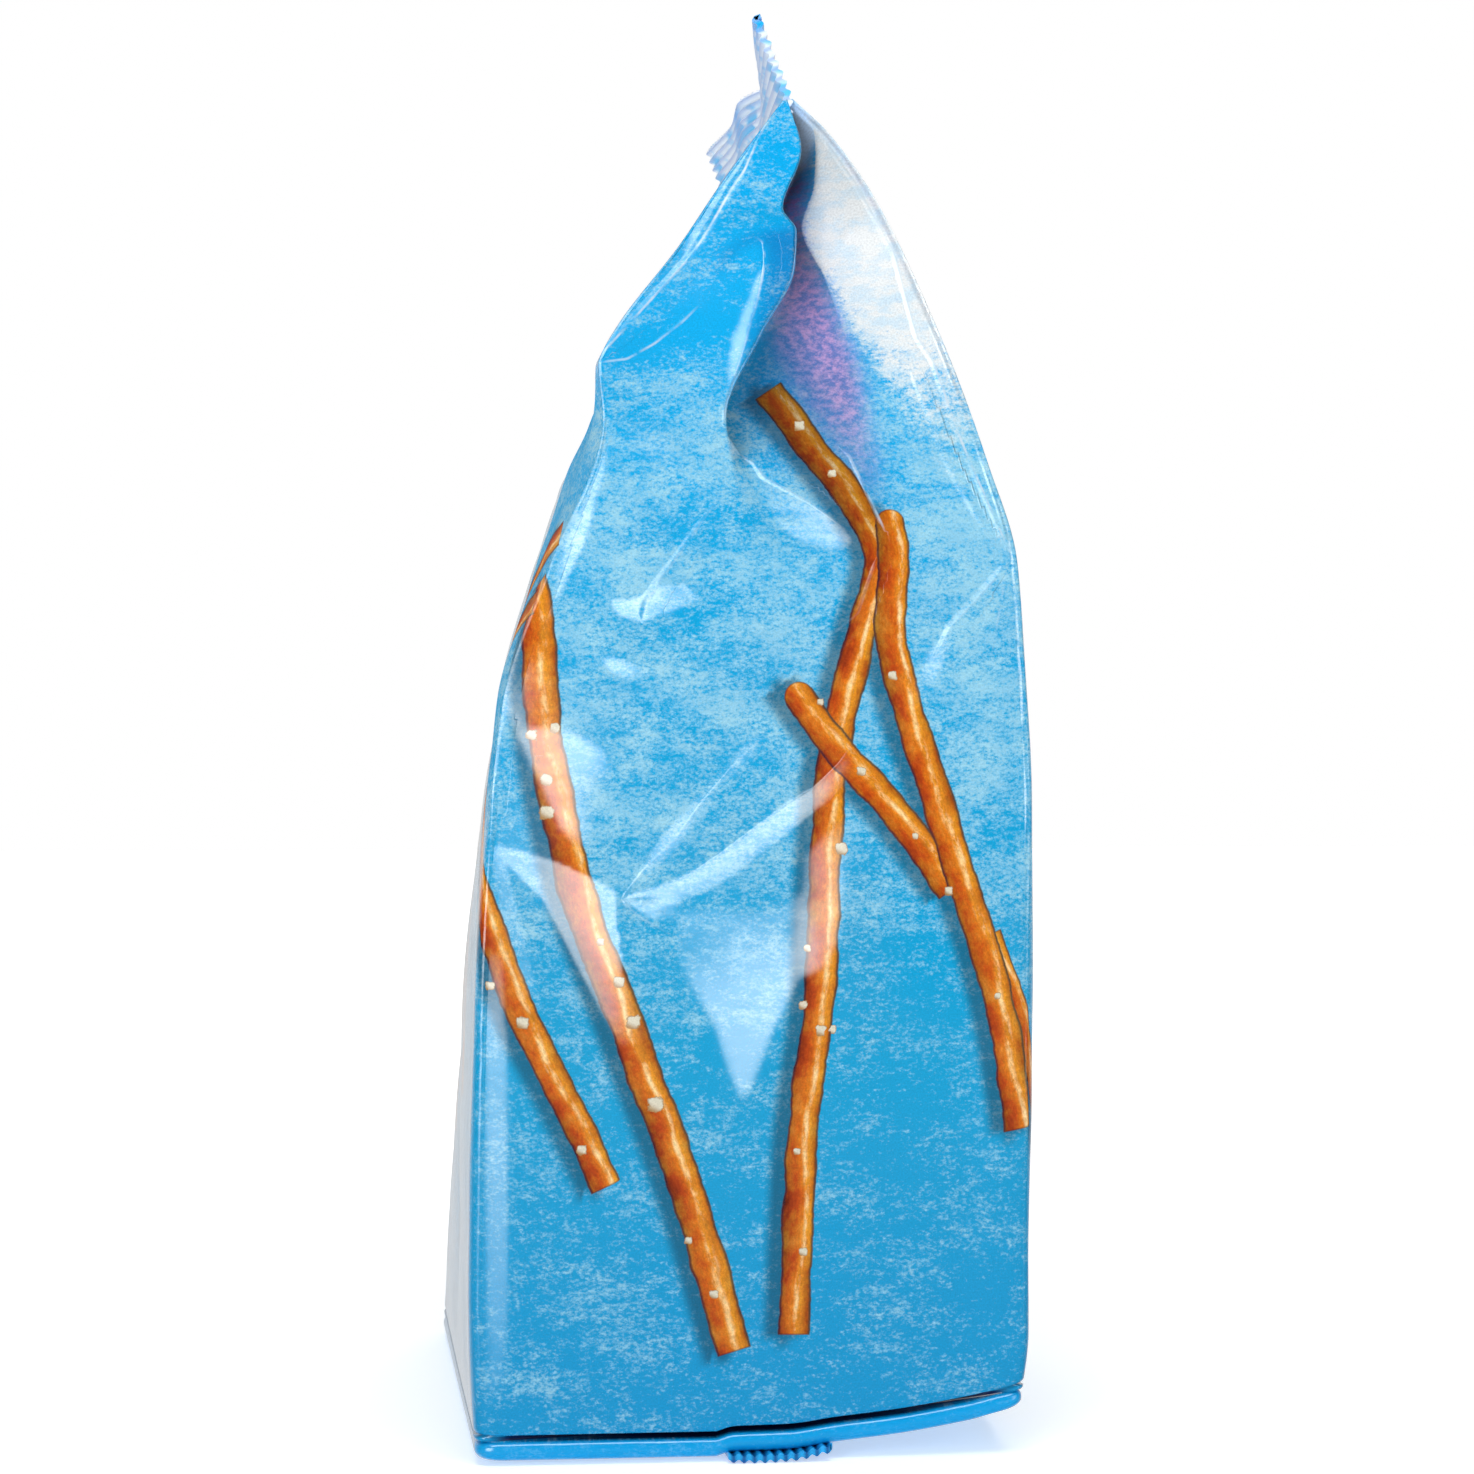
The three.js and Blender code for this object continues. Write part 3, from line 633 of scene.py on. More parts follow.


# ---- What is printed on the film, and the shade and light painted on it ---------------------------
# Places on the print are (u, z): u is x on the narrow side that the camera sees, and runs on round
# both front corners. Lines of sticks go from their upper end down.
# Each stick: layer (higher ones lie on top), radius, rounded upper end, line.
STICKS = [
    (0, 2.6, False, [(3.5, 179.5), (10, 170), (18, 158), (21, 150.5), (17.7, 137), (14.4, 123.6),
                      (12.4, 112), (10.2, 77), (7.7, 52), (6.8, 21.2)]),
    (2, 2.65, True, [(22.8, 159), (23.5, 150), (22.8, 140), (25.3, 127), (29.5, 113.6), (34.6, 97),
                    (38.8, 85), (42.2, 72), (44.8, 55)]),
    (1, 2.6, True, [(6, 129.6), (12.7, 120.3), (24.5, 107), (32.9, 95.2)]),
    (0, 2.9, False, [(-37.6, 147), (-36.3, 143.4), (-34.7, 123.6), (-29.8, 97.2),
                     (-21.5, 74), (-10.7, 44), (-3.2, 18.6)]),
    (1, 2.3, False, [(-33, 155), (-42, 151), (-54, 146), (-75, 138)]),
    (1, 2.3, False, [(-37, 143.5), (-48, 139.5), (-60, 135), (-80, 126)]),
    (0, 2.5, False, [(-56, 116), (-45.4, 94), (-38.8, 75.8), (-31.4, 61), (-24.5, 46.4)]),
    (0, 1.9, False, [(39.5, 88), (41.4, 83.5), (43.9, 76.8), (46.5, 68.4), (53, 50)]),
]
# Salt: place and radius of each grain.
SALT = [
    (8.5, 173.2, 1.1), (13.5, 164.9, 0.9), (11, 126.6, 0.7), (17.7, 115.1, 0.9), (26.7, 104.3, 0.7),
    (32.4, 95.2, 0.9), (23.3, 131, 0.9), (-36.7, 121.1, 1.1), (-32.9, 122.3, 1), (-34.2, 113.7, 1.2),
    (-34.2, 108.3, 1.4), (-25.5, 86.9, 0.8), (-22.5, 80.3, 1.1), (-20.2, 73.7, 1.4),
    (-16.5, 60.1, 1.6), (-11, 37.5, 0.8), (-6.7, 28.4, 0.9), (-28.6, 52.6, 1), (-38.3, 73.5, 1.3),
    (-43.6, 79.5, 0.9), (8.3, 86, 0.7), (7.5, 76.7, 0.9), (10.7, 72.4, 1.2), (12.5, 72.4, 0.9),
    (7, 52.1, 0.7), (8.2, 35.2, 0.9), (14.2, 102.3, 1.2), (40.9, 77.5, 0.7),
]
# Each patch: how softly it sets in, and its outline as (u, z, share).
# Painted shade and reflection in the valley behind the flap, in violet.
PURPLE = (1.6, [
    (3, 224, 0.2), (8, 223, 0.4), (9.5, 214, 0.9), (8.5, 207.5, 1), (11, 203.5, 1), (14.5, 194, 1),
    (18, 184, 1), (19.5, 173, 1), (21.5, 165, 0.8), (20, 158, 0.2), (16, 165.5, 0.3), (14, 170, 0.7),
    (9.5, 177, 0.7), (6, 185, 0.7), (4.5, 190, 0.8), (5.5, 195, 0.9), (4, 202, 0.7), (2, 212, 0.4),
])
# White at the upper right: partly print that fades to white, partly painted glare.
WHITE = (2.4, [
    (9, 205, 0.9), (10, 213, 1), (10, 230, 1.3), (30, 230, 1.3), (60, 200, 1.1), (62, 172, 0.3),
    (50, 155, 0), (34, 158, 0.05), (27, 166, 0.2), (23.5, 175, 0.4), (20, 184, 0.7), (14.5, 196, 1),
])
# The ground lies in shade below the flap.
SHADE = (2.5, [
    (-4.5, 176, 0.5), (0, 184, 0.8), (4, 192, 0.6), (9, 186, 0.7), (14, 174, 0.8), (20, 160, 0.7),
    (22, 151, 0.5), (17, 152, 0.5), (10, 162, 0.5), (2, 168, 0.3),
])
# The flap's lower part turns away from the light.
FLAP_SHADE = (0.8, [
    (-7, 198, 0.25), (-5.25, 201.25, 0.4), (-0.75, 204.25, 0.6), (3.5, 204.75, 0.8),
    (7.75, 205.5, 0.8), (7.75, 198.5, 0.8), (5, 192.5, 0.7), (2.25, 186.75, 0.6), (-0.25, 182, 0.6),
    (-2.75, 177.5, 0.6), (-4.5, 173.5, 0.5), (-3.5, 178, 0.5), (-2, 183.75, 0.5),
    (-0.75, 188.75, 0.5), (0.75, 193, 0.5), (1.75, 198.75, 0.6), (1.75, 201.75, 0.7),
    (0.5, 203.25, 0.6), (-2.75, 201.5, 0.5), (-5.25, 198, 0.3),
])
# Painted light: a pale patch at the top of the valley, where the deep valley would otherwise be dark.
GREY = (0.5, [
    (2, 227, 0.8), (11.5, 227, 0.8), (11.3, 222, 0.8), (9.5, 217, 0.7), (6.5, 214, 0.3), (3, 222, 0.5),
])
# The share of the ground that pale fibres cover, by height, and patches where they are thinner or,
# where the number is negative, thicker.
fibre_share = through([
    (0, 0.17), (50, 0.18), (70, 0.25), (95, 0.4), (150, 0.5), (175, 0.42), (186, 0.25), (226, 0.3),
])
THIN_FIBRES = [
    (-0.15, (4, [(27, 172, 0.6), (40, 165, 1), (46, 150, 1), (46, 122, 0.6), (34, 125, 0.6),
                 (28, 150, 0.6)])),
    (0.25, (0.5, [(-70, 190, 1), (-47, 190, 1), (-34, 150, 0), (-46, 100, 0), (-47, 0, 1),
                  (-70, 0, 1)])),
    (0.2, (1.5, [(-26, 183, 1), (-9, 193, 1), (-3, 202, 1), (6, 206, 1), (6, 198, 1), (1, 190, 0.6),
                 (-9, 186, 0.8), (-17, 182, 1)])),
    (0.15, (3, [(12, 90, 0.5), (26, 92, 1), (36, 88, 0.8), (38, 62, 0.6), (12, 62, 0.4)])),
    (-0.08, (4, [(-46, 60, 0.6), (-20, 60, 1), (-12, 10, 1), (-46, 8, 0.6)])),
]
STICK_MARGIN = 1.0  # how far beyond its radius a stick's own coordinates are kept true
SHADOW_SHIFT = (-2.0, -0.4)
NO_STICK = (9.0, 0.0, -9.0)
STICK_SHIFT = 170  # how far apart two sticks lie in the noise, so that no two look the same
# The sticks on the other sides: from and to which u, and how many.
OTHER_STICKS = [
    (60, BAG_DEPTH + 33, 7), (-BAG_DEPTH - 27, -72, 6), (BAG_DEPTH + 55, BAG_DEPTH + 130, 4),
]
SALT_STEP = 11  # about how far apart the grains on those sticks lie


def smooth_line(line, step=1.5):
    """The line as a smooth curve through its points."""
    line = np.array(line, float)
    length = lengths_along(line)
    at = np.linspace(0, length[-1], max(3, int(length[-1] / step)))
    return np.stack([through(list(zip(length, line[:, k])))(at) for k in (0, 1)], -1)


def random_sticks(rng, low, high, count):
    """Sticks that lie loosely upright between two places on the print, kept apart."""
    sticks = []
    for i in range(count):
        share = (i + rng.uniform(0.2, 0.8)) / count
        u = low + share * (high - low)
        top = rng.uniform(95, 175)
        length = min(rng.uniform(70, 130), top - 16)
        lean = rng.uniform(-0.35, 0.35)
        bend = rng.uniform(-3, 3)
        points = [(u + lean * length * (0.5 - s) + bend * arch(s), top - length * s)
                  for s in (0, 0.25, 0.5, 0.75, 1)]
        sticks.append((i % 3, rng.uniform(2.2, 2.7), rng.random() < 0.4, points))
    return sticks


def stick_layers(places, sticks):
    """For each layer: (across in radii, place along, how far inside), from the nearest stick."""
    layers = np.tile(np.array(NO_STICK), (3, len(places), 1))
    shadow = np.full(len(places), 9.0)
    for number, (layer, radius, rounded, line) in enumerate(sticks):
        line = smooth_line(line)
        low, high = line.min(0) - 12, line.max(0) + 12
        near = np.flatnonzero(((places > low) & (places < high)).all(1))
        across, along, length = along_line(places[near], line, open_ends=True)
        end = np.minimum(along, length - along)
        if rounded:
            cap = radius - np.hypot(across, radius - along)
            end = np.where(along < radius, np.minimum(end, cap), end)
        cover = np.minimum(radius + STICK_MARGIN - np.abs(across), end)
        current = layers[layer][near]
        better = cover > current[:, 2]
        mine = np.stack([across / radius, along + STICK_SHIFT * number, cover], -1)
        layers[layer][near] = np.where(better[:, None], mine, current)
        across, along, length = along_line(places[near] - SHADOW_SHIFT, line)
        ends = np.minimum(along, length - along)
        shadow[near] = np.minimum(shadow[near], np.abs(across) - radius + 2 * (ends <= 0))
    return layers, 1 - smoothstep(shadow, -0.6, 1.6)


def salt_grains(places, grains):
    """Offset from the nearest grain, in its radii, and the grain's number."""
    best = np.full(len(places), 9.0)
    nearest = np.full((len(places), 3), (9.0, 9.0, 0.0))
    for number, (u, z, radius) in enumerate(grains, 1):
        rel = (places - (u, z)) / radius
        gap = np.hypot(*rel.T)
        mine = np.column_stack([rel, np.full(len(rel), number)])
        nearest = np.where((gap < best)[:, None], mine, nearest)
        best = np.minimum(best, gap)
    return nearest


def soft_patch(places, patch):
    """How much of the patch lies at each place of the print."""
    softness, corners = patch
    return sample(blurred(on_raster(corners), softness), *places.T)


def crease_wear_and_highlights(places):
    """(signed distance to the nearest crease, how white it is from wear and painted highlight, distance)
    and its flank's width.
    """
    best = np.full(len(places), CREASE_FADE)
    signed = np.full(len(places), -CREASE_FADE)
    wear_and_highlight_share = np.zeros(len(places))
    flank = np.zeros(len(places))
    for _, width, wear_and_highlight, line in CREASES:
        across, share = crease_shares(places, line)
        gap = np.abs(across)
        closer = gap < best
        best = np.where(closer, gap, best)
        signed = np.where(closer, across, signed)
        wear_and_highlight_share = np.where(closer, wear_and_highlight * share, wear_and_highlight_share)
        flank = np.where(closer, width * share, flank)
    return np.stack([signed, wear_and_highlight_share, best], -1), flank


def print_places(rings):
    """(u, z) on the print for each point of the rings."""
    x, y, z = np.moveaxis(rings, -1, 0)
    u = x.copy()
    right, back = x[:, [FRONT_LAST]], x[:, [RIGHT_LAST]]
    u[:, FRONT_LAST:RIGHT_LAST + 1] = right + y[:, FRONT_LAST:RIGHT_LAST + 1] - FRONT
    u[:, RIGHT_LAST:BACK_LAST + 1] = right + BAG_DEPTH + back - x[:, RIGHT_LAST:BACK_LAST + 1]
    u[:, BACK_LAST + 1:] = x[:, :1] - (y[:, BACK_LAST + 1:] - FRONT)
    return np.stack([u, z], -1)


def outward(rings):
    """The unit normal at each point of the closed rings."""
    around = np.roll(rings, -1, axis=1) - np.roll(rings, 1, axis=1)
    normal = np.cross(around, np.gradient(rings, axis=0))
    return normal / np.maximum(np.linalg.norm(normal, axis=-1, keepdims=True), 1e-9)


def facet_normals(rings, folded):
    """The normals at which the film's shallow facets catch the light as asked, and how far they hold
    at each point: not at the upright edges nor in the valley."""
    x, y, z = np.moveaxis(folded, -1, 0)
    broad = outward(rings)
    left, up = (sample(field, x, z) for field in wanted_leans())
    depth = np.minimum(broad[..., 1], -1e-9)
    left += CALM * np.clip(broad[..., 0] / depth, -0.6, 0.6)
    up -= CALM * np.clip(broad[..., 2] / depth, -0.6, 0.6)
    columns = np.arange(rings.shape[1])[None]
    sharp = smoothstep(z, 104, 116)
    reach = 1.4 - 0.9 * sharp
    share = smoothstep(x - x[:, :1], 0.2 * reach, reach)
    share = share * smoothstep(x[:, [FRONT_LAST]] - x, 0.3, 1.4)
    share = share * smoothstep(z, 8, 16) * (columns <= FRONT_LAST)
    # Behind the flap's edge the slope of the valley stays out of the light.
    deep = smoothstep(z, 166, 178)
    slope = smoothstep(columns, FLOOR_AT - 3, FLOOR_AT) * (columns < CREST_AT - 2) * deep
    left += slope * (math.tan(math.radians(SLOPE_LEAN)) - left)
    rolled = smoothstep(columns, EDGE_AT - 3, EDGE_AT) * (columns <= FLOOR_AT - 3)
    share = share * (1 - rolled * deep)
    # Beside the front left edge the upper wide side has caved in, and faces half forwards.
    caved = (columns > BACK_LAST) * (1 - smoothstep(y, FRONT + 18, FRONT + 45))
    caved = caved * smoothstep(z, 100, 116) * (1 - smoothstep(z, 176, 186))
    left = np.where(caved > 0, math.tan(math.radians(CAVED_LEAN)), left)
    up = np.where(caved > 0, 0, up)
    # Higher up that edge is a sharp fold, which catches the light.
    off_edge = np.hypot(x - x[:, :1], y - y[:, :1])
    fold = sharp * (1 - smoothstep(off_edge, 0.35, 0.7))
    left += fold * (math.tan(math.radians(EDGE_LEAN)) - left)
    share = np.maximum(share, fold)
    wanted = np.stack([-left, -np.ones_like(left), up], -1)
    wanted /= np.linalg.norm(wanted, axis=-1, keepdims=True)
    return wanted.reshape(-1, 3), np.maximum(share, caved).ravel()


def print_attributes(rings):
    """Everything that the film's material reads, for each point of the rings."""
    places = print_places(rings).reshape(-1, 2)
    rng = np.random.default_rng(SEED + 1)
    sticks = list(STICKS)
    for low, high, count in OTHER_STICKS:
        sticks += random_sticks(rng, low, high, count)
    grains = list(SALT)
    for _, radius, _, line in sticks[len(STICKS):]:
        curve = smooth_line(line, SALT_STEP)
        for u, z in curve[1:-1]:
            place = rng.uniform(-0.8, 0.8, 2) * (radius, 4)
            grains.append((u + place[0], z + place[1], rng.uniform(0.7, 1.4)))
    layers, shadow = stick_layers(places, sticks)
    columns = np.tile(np.arange(rings.shape[1]), rings.shape[0])
    wear_and_highlight, flank = crease_wear_and_highlights(places)
    wear_and_highlight[columns > FRONT_LAST, 1] = 0
    flank[columns > FRONT_LAST] = 0
    behind_flap = columns > EDGE_AT + 1
    past_ridge = smoothstep(columns, CREST_AT - 4, CREST_AT - 1)
    below_valley = 1 - smoothstep(places[:, 1], 192, 202)
    white = soft_patch(places, WHITE) * np.maximum(past_ridge, below_valley)
    fibres = fibre_share(places[:, 1]) + 0.5 * white
    for less, patch in THIN_FIBRES:
        fibres -= less * soft_patch(places, patch)
    return {
        "print_place": np.concatenate([places, np.zeros((len(places), 1))], -1),
        "lower_sticks": layers[0],
        "middle_sticks": layers[1],
        "upper_sticks": layers[2],
        "salt": salt_grains(places, grains),
        "crease_wear_and_highlight": wear_and_highlight,
        "crease_flank": flank,
        "drop_shadow": shadow,
        "valley_violet_shade": soft_patch(places, PURPLE) * behind_flap,
        "valley_top_painted_light": soft_patch(places, GREY) * behind_flap,
        "shade": np.where(behind_flap, soft_patch(places, SHADE), soft_patch(places, FLAP_SHADE)),
        "white_print_and_glare": white,
        "fibre_cover": np.clip(fibres, 0, 1),
    }


# ---- Meshes ---------------------------------------------------------------------------------------
def add_piece(name, vertices, faces, material, attributes=None):
    """A mesh piece at the origin, from points in millimetres."""
    mesh = bpy.data.meshes.new(name)
    mesh.from_pydata(((vertices - BOX_CENTRE) * MM).tolist(), [], faces)
    mesh.validate()
    for key, values in (attributes or {}).items():
        kind = "FLOAT_VECTOR" if values.ndim == 2 else "FLOAT"
        field = "vector" if values.ndim == 2 else "value"
        attribute = mesh.attributes.new(key, kind, "POINT")
        attribute.data.foreach_set(field, values.astype(np.float32).ravel())
    mesh.materials.append(material)
    mesh.polygons.foreach_set("use_smooth", np.ones(len(mesh.polygons), bool))
    return add_object(name, mesh)


BASE_SHARES = (0.15, 0.4, 0.6, 0.78, 0.91)  # rings under the base, as shares of the lowest one


def film_mesh():
    """Points, faces and attributes of the closed skin."""
    low, pocket = low_rings()
    rings = np.concatenate([low, high_rings()])
    attributes = print_attributes(rings)
    folded = fold_skin(rings)
    attributes["facet_normal"], attributes["facet_share"] = facet_normals(rings, folded)
    in_hem = (LOW_HEIGHTS < HEM_HEIGHT)[:, None]
    for key, low_values in (("pocket_shade", pocket), ("hem", in_hem)):
        values = np.zeros(rings.shape[:2])
        values[: len(LOW_HEIGHTS)] = low_values
        attributes[key] = values.ravel()
    edge = folded[0]
    inner = []
    for share in BASE_SHARES:
        x, y = edge[:, 0] * share, edge[:, 1] * share
        inner.append(np.stack([x, y, base_rise(x, y)], -1))
    middle = np.array([[0, 0, base_rise(np.zeros(1), np.zeros(1))[0]]])
    skin = np.concatenate([np.stack(inner), folded])
    rows, columns = skin.shape[:2]
    index = np.arange(rows * columns).reshape(rows, columns)
    ahead = np.roll(index, -1, axis=1)
    quads = np.stack([index[:-1], ahead[:-1], ahead[1:], index[1:]], -1).reshape(-1, 4)
    centre = rows * columns
    fan = [(centre, int(b), int(a)) for a, b in zip(index[0], ahead[0])]
    faces = quads.tolist() + fan + [index[-1].tolist()]
    points = np.concatenate([skin.reshape(-1, 3), middle])
    for key, values in attributes.items():
        first = values[:columns]
        under = np.concatenate([first] * len(BASE_SHARES))
        if key == "print_place":
            under[:, :2] = skin[: len(BASE_SHARES), :, :2].reshape(-1, 2)
        attributes[key] = np.concatenate([under, values, values[:1]])
    return points, faces, attributes


# ---- Crimped seals --------------------------------------------------------------------------------
SEAL_INPUTS = {
    "Length": BAG_DEPTH, "Width": CRIMP_HEIGHT + CRIMP_SINK, "Thickness": CRIMP_THICKNESS,
    "Rib pitch": CRIMP_PITCH, "Rib depth": RIB_DEPTH, "Tooth pitch": 2.0, "Tooth depth": 0.9,
}
SEAL_STEPS_LONG = 261
SEAL_STEPS_WIDE = 57


def add_node(tree, kind, inputs=None, stops=None, **settings):
    """Adds a node with its settings and links. An input is a value, or a node or output to link from;
    stops are a colour ramp's, as (position, hex colour)."""
    made = tree.nodes.new(kind)
    for key, value in settings.items():
        setattr(made, key, value)
    for position, code in (stops or [])[2:]:
        made.color_ramp.elements.new(position)
    for i, (position, code) in enumerate(stops or []):
        made.color_ramp.elements[i].position = position
        made.color_ramp.elements[i].color = colour(code)
    for key, value in (inputs or {}).items():
        if isinstance(value, bpy.types.Node):
            value = next(output for output in value.outputs if output.enabled)
        if isinstance(value, bpy.types.NodeSocket):
            tree.links.new(value, made.inputs[key])
        else:
            made.inputs[key].default_value = value
    return made


def crimped_seal_tree():
    """Geometry nodes for a flat ribbon of film with ribs along it and teeth on its cut edge."""
    tree = bpy.data.node_groups.new("crimped seal", "GeometryNodeTree")
    for name, value in SEAL_INPUTS.items():
        socket = tree.interface.new_socket(name, in_out="INPUT", socket_type="NodeSocketFloat")
        socket.default_value = value
    tree.interface.new_socket("Film", in_out="INPUT", socket_type="NodeSocketMaterial")
    tree.interface.new_socket("Seal", in_out="OUTPUT", socket_type="NodeSocketGeometry")
    add = partial(add_node, tree)
    given = add("NodeGroupInput").outputs
    size = add("ShaderNodeCombineXYZ", {
        "X": given["Length"], "Y": given["Width"], "Z": given["Thickness"]})
    ribbon = add("GeometryNodeMeshCube", {
        "Size": size, "Vertices X": SEAL_STEPS_LONG, "Vertices Y": SEAL_STEPS_WIDE, "Vertices Z": 3})
    place = add("ShaderNodeSeparateXYZ", {0: add("GeometryNodeInputPosition")}).outputs
    # Ribs: a cosine across the width.
    from_root = add("ShaderNodeMath", {0: given["Width"], 1: 0.5, 2: place["Y"]},
                    operation="MULTIPLY_ADD")
    turn = add("ShaderNodeMath", {0: from_root, 1: given["Rib pitch"]}, operation="DIVIDE")
    turn = add("ShaderNodeMath", {0: turn, 1: 2 * math.pi}, operation="MULTIPLY")
    rib = add("ShaderNodeMath", {0: turn}, operation="COSINE")
    rib = add("ShaderNodeMath", {0: rib, 1: given["Rib depth"]}, operation="MULTIPLY")
    # Teeth: the last row of points moves in and out along the cut edge.
    half_pitch = add("ShaderNodeMath", {0: given["Tooth pitch"], 1: 0.5}, operation="MULTIPLY")
    tooth = add("ShaderNodeMath", {0: place["X"], 1: half_pitch}, operation="PINGPONG")
    tooth = add("ShaderNodeMath", {0: tooth, 1: half_pitch}, operation="DIVIDE")
    bite = add("ShaderNodeMath", {0: tooth, 1: given["Tooth depth"]}, operation="MULTIPLY")
    last = add("ShaderNodeMath", {0: given["Width"], 1: 0.05}, operation="SUBTRACT")
    last = add("ShaderNodeMath", {0: from_root, 1: last}, operation="GREATER_THAN")
    bite = add("ShaderNodeMath", {0: bite, 1: last}, operation="MULTIPLY")
    back = add("ShaderNodeMath", {0: bite, 1: -1.0}, operation="MULTIPLY")
    shift = add("ShaderNodeCombineXYZ", {"Y": back, "Z": rib})
    ribbed = add("GeometryNodeSetPosition", {"Geometry": ribbon, "Offset": shift})
    real = add("GeometryNodeRealizeInstances", {"Geometry": ribbed})
    finished = add("GeometryNodeSetMaterial", {"Geometry": real, "Material": given["Film"]})
    add("NodeGroupOutput", {"Seal": finished})
    return tree


def flat_seal(tree, material, values):
    """The seal's flat ribbon as arrays: points (along, from the root, sideways) and faces."""
    carrier = add_object("flat seal", bpy.data.meshes.new("flat seal"))
    modifier = carrier.modifiers.new("seal", "NODES")
    modifier.node_group = tree
    sockets = {item.name: item.identifier for item in tree.interface.items_tree}
    for name, value in {**values, "Film": material}.items():
        modifier[sockets[name]] = value
    graph = bpy.context.evaluated_depsgraph_get()
    made = bpy.data.meshes.new_from_object(carrier.evaluated_get(graph))
    points = np.array([v.co for v in made.vertices])
    faces = [list(p.vertices) for p in made.polygons]
    bpy.data.objects.remove(carrier)
    bpy.data.meshes.remove(made)
    return points, faces


TOP_ROOT = ((5.2 + 6.8) / 2, (9.8 + 11.4) / 2)
top_lean = through([(0, 22), (0.27, 8), (0.5, -6), (0.62, 9), (0.78, 7), (1, 21)])


def bend_top(points):
    """Stands the ribbon on the line where the walls meet, leaning and swaying."""
    along = points[:, 0] / BAG_DEPTH + 0.5
    height = points[:, 1] + (CRIMP_HEIGHT + CRIMP_SINK) / 2 - CRIMP_SINK
    lean = np.radians(top_lean(along))
    out = np.maximum(0, height)
    side = points[:, 2]
    x = TOP_ROOT[0] + (TOP_ROOT[1] - TOP_ROOT[0]) * along - np.sin(lean) * out + np.cos(lean) * side
    z = BASE_SAG + SEAL_HEIGHT + np.minimum(0, height) + np.cos(lean) * out + np.sin(lean) * side
    return np.stack([x, FRONT + along * BAG_DEPTH, z], -1)


turn_up = through([(0, 0.2), (0.3, 0), (0.6, 0.2), (1, 1.5)])
BASE_SEAL_LENGTH = BAG_DEPTH + 3


def bend_base(points):
    """Lays the ribbon flat under the base, folded to the right; its front end turns up."""
    along = points[:, 0] / BASE_SEAL_LENGTH + 0.5
    up = points[:, 1] / (CRIMP_HEIGHT + CRIMP_SINK) + 0.5
    opened = 1 - smoothstep(along, 0, 0.12)
    top = points[:, 2] - RIB_DEPTH * np.cos(2 * np.pi * up * (CRIMP_HEIGHT + CRIMP_SINK) / CRIMP_PITCH)
    thick = np.clip(top / CRIMP_THICKNESS + 0.5, 0, 1)
    wave = 0.8 * (RIB_DEPTH + points[:, 2] - top)
    under = opened * (turn_up(np.clip(up, 0, 1)) + wave)
    x = SEAM_X + up * (CRIMP_HEIGHT + CRIMP_SINK)
    y = FRONT - 1.5 + along * BASE_SEAL_LENGTH
    return np.stack([x, y, under + thick * CRIMP_THICKNESS], -1)


# ---- Colours and materials ------------------------------------------------------------------------
def colour(code):
    """A hex sRGB colour as linear red, green, blue and alpha."""
    parts = [int(code[i:i + 2], 16) / 255 for i in (1, 3, 5)]
    return (*[p / 12.92 if p <= 0.04045 else ((p + 0.055) / 1.055) ** 2.4 for p in parts], 1)


def new_material(name, **finish):
    """A material, its tree and its shader, with the shader's values set."""
    material = bpy.data.materials.new(name)
    material.use_nodes = True
    shader = material.node_tree.nodes["Principled BSDF"]
    for key, value in finish.items():
        shader.inputs[key.replace("_", " ")].default_value = value
    return material, material.node_tree, shader


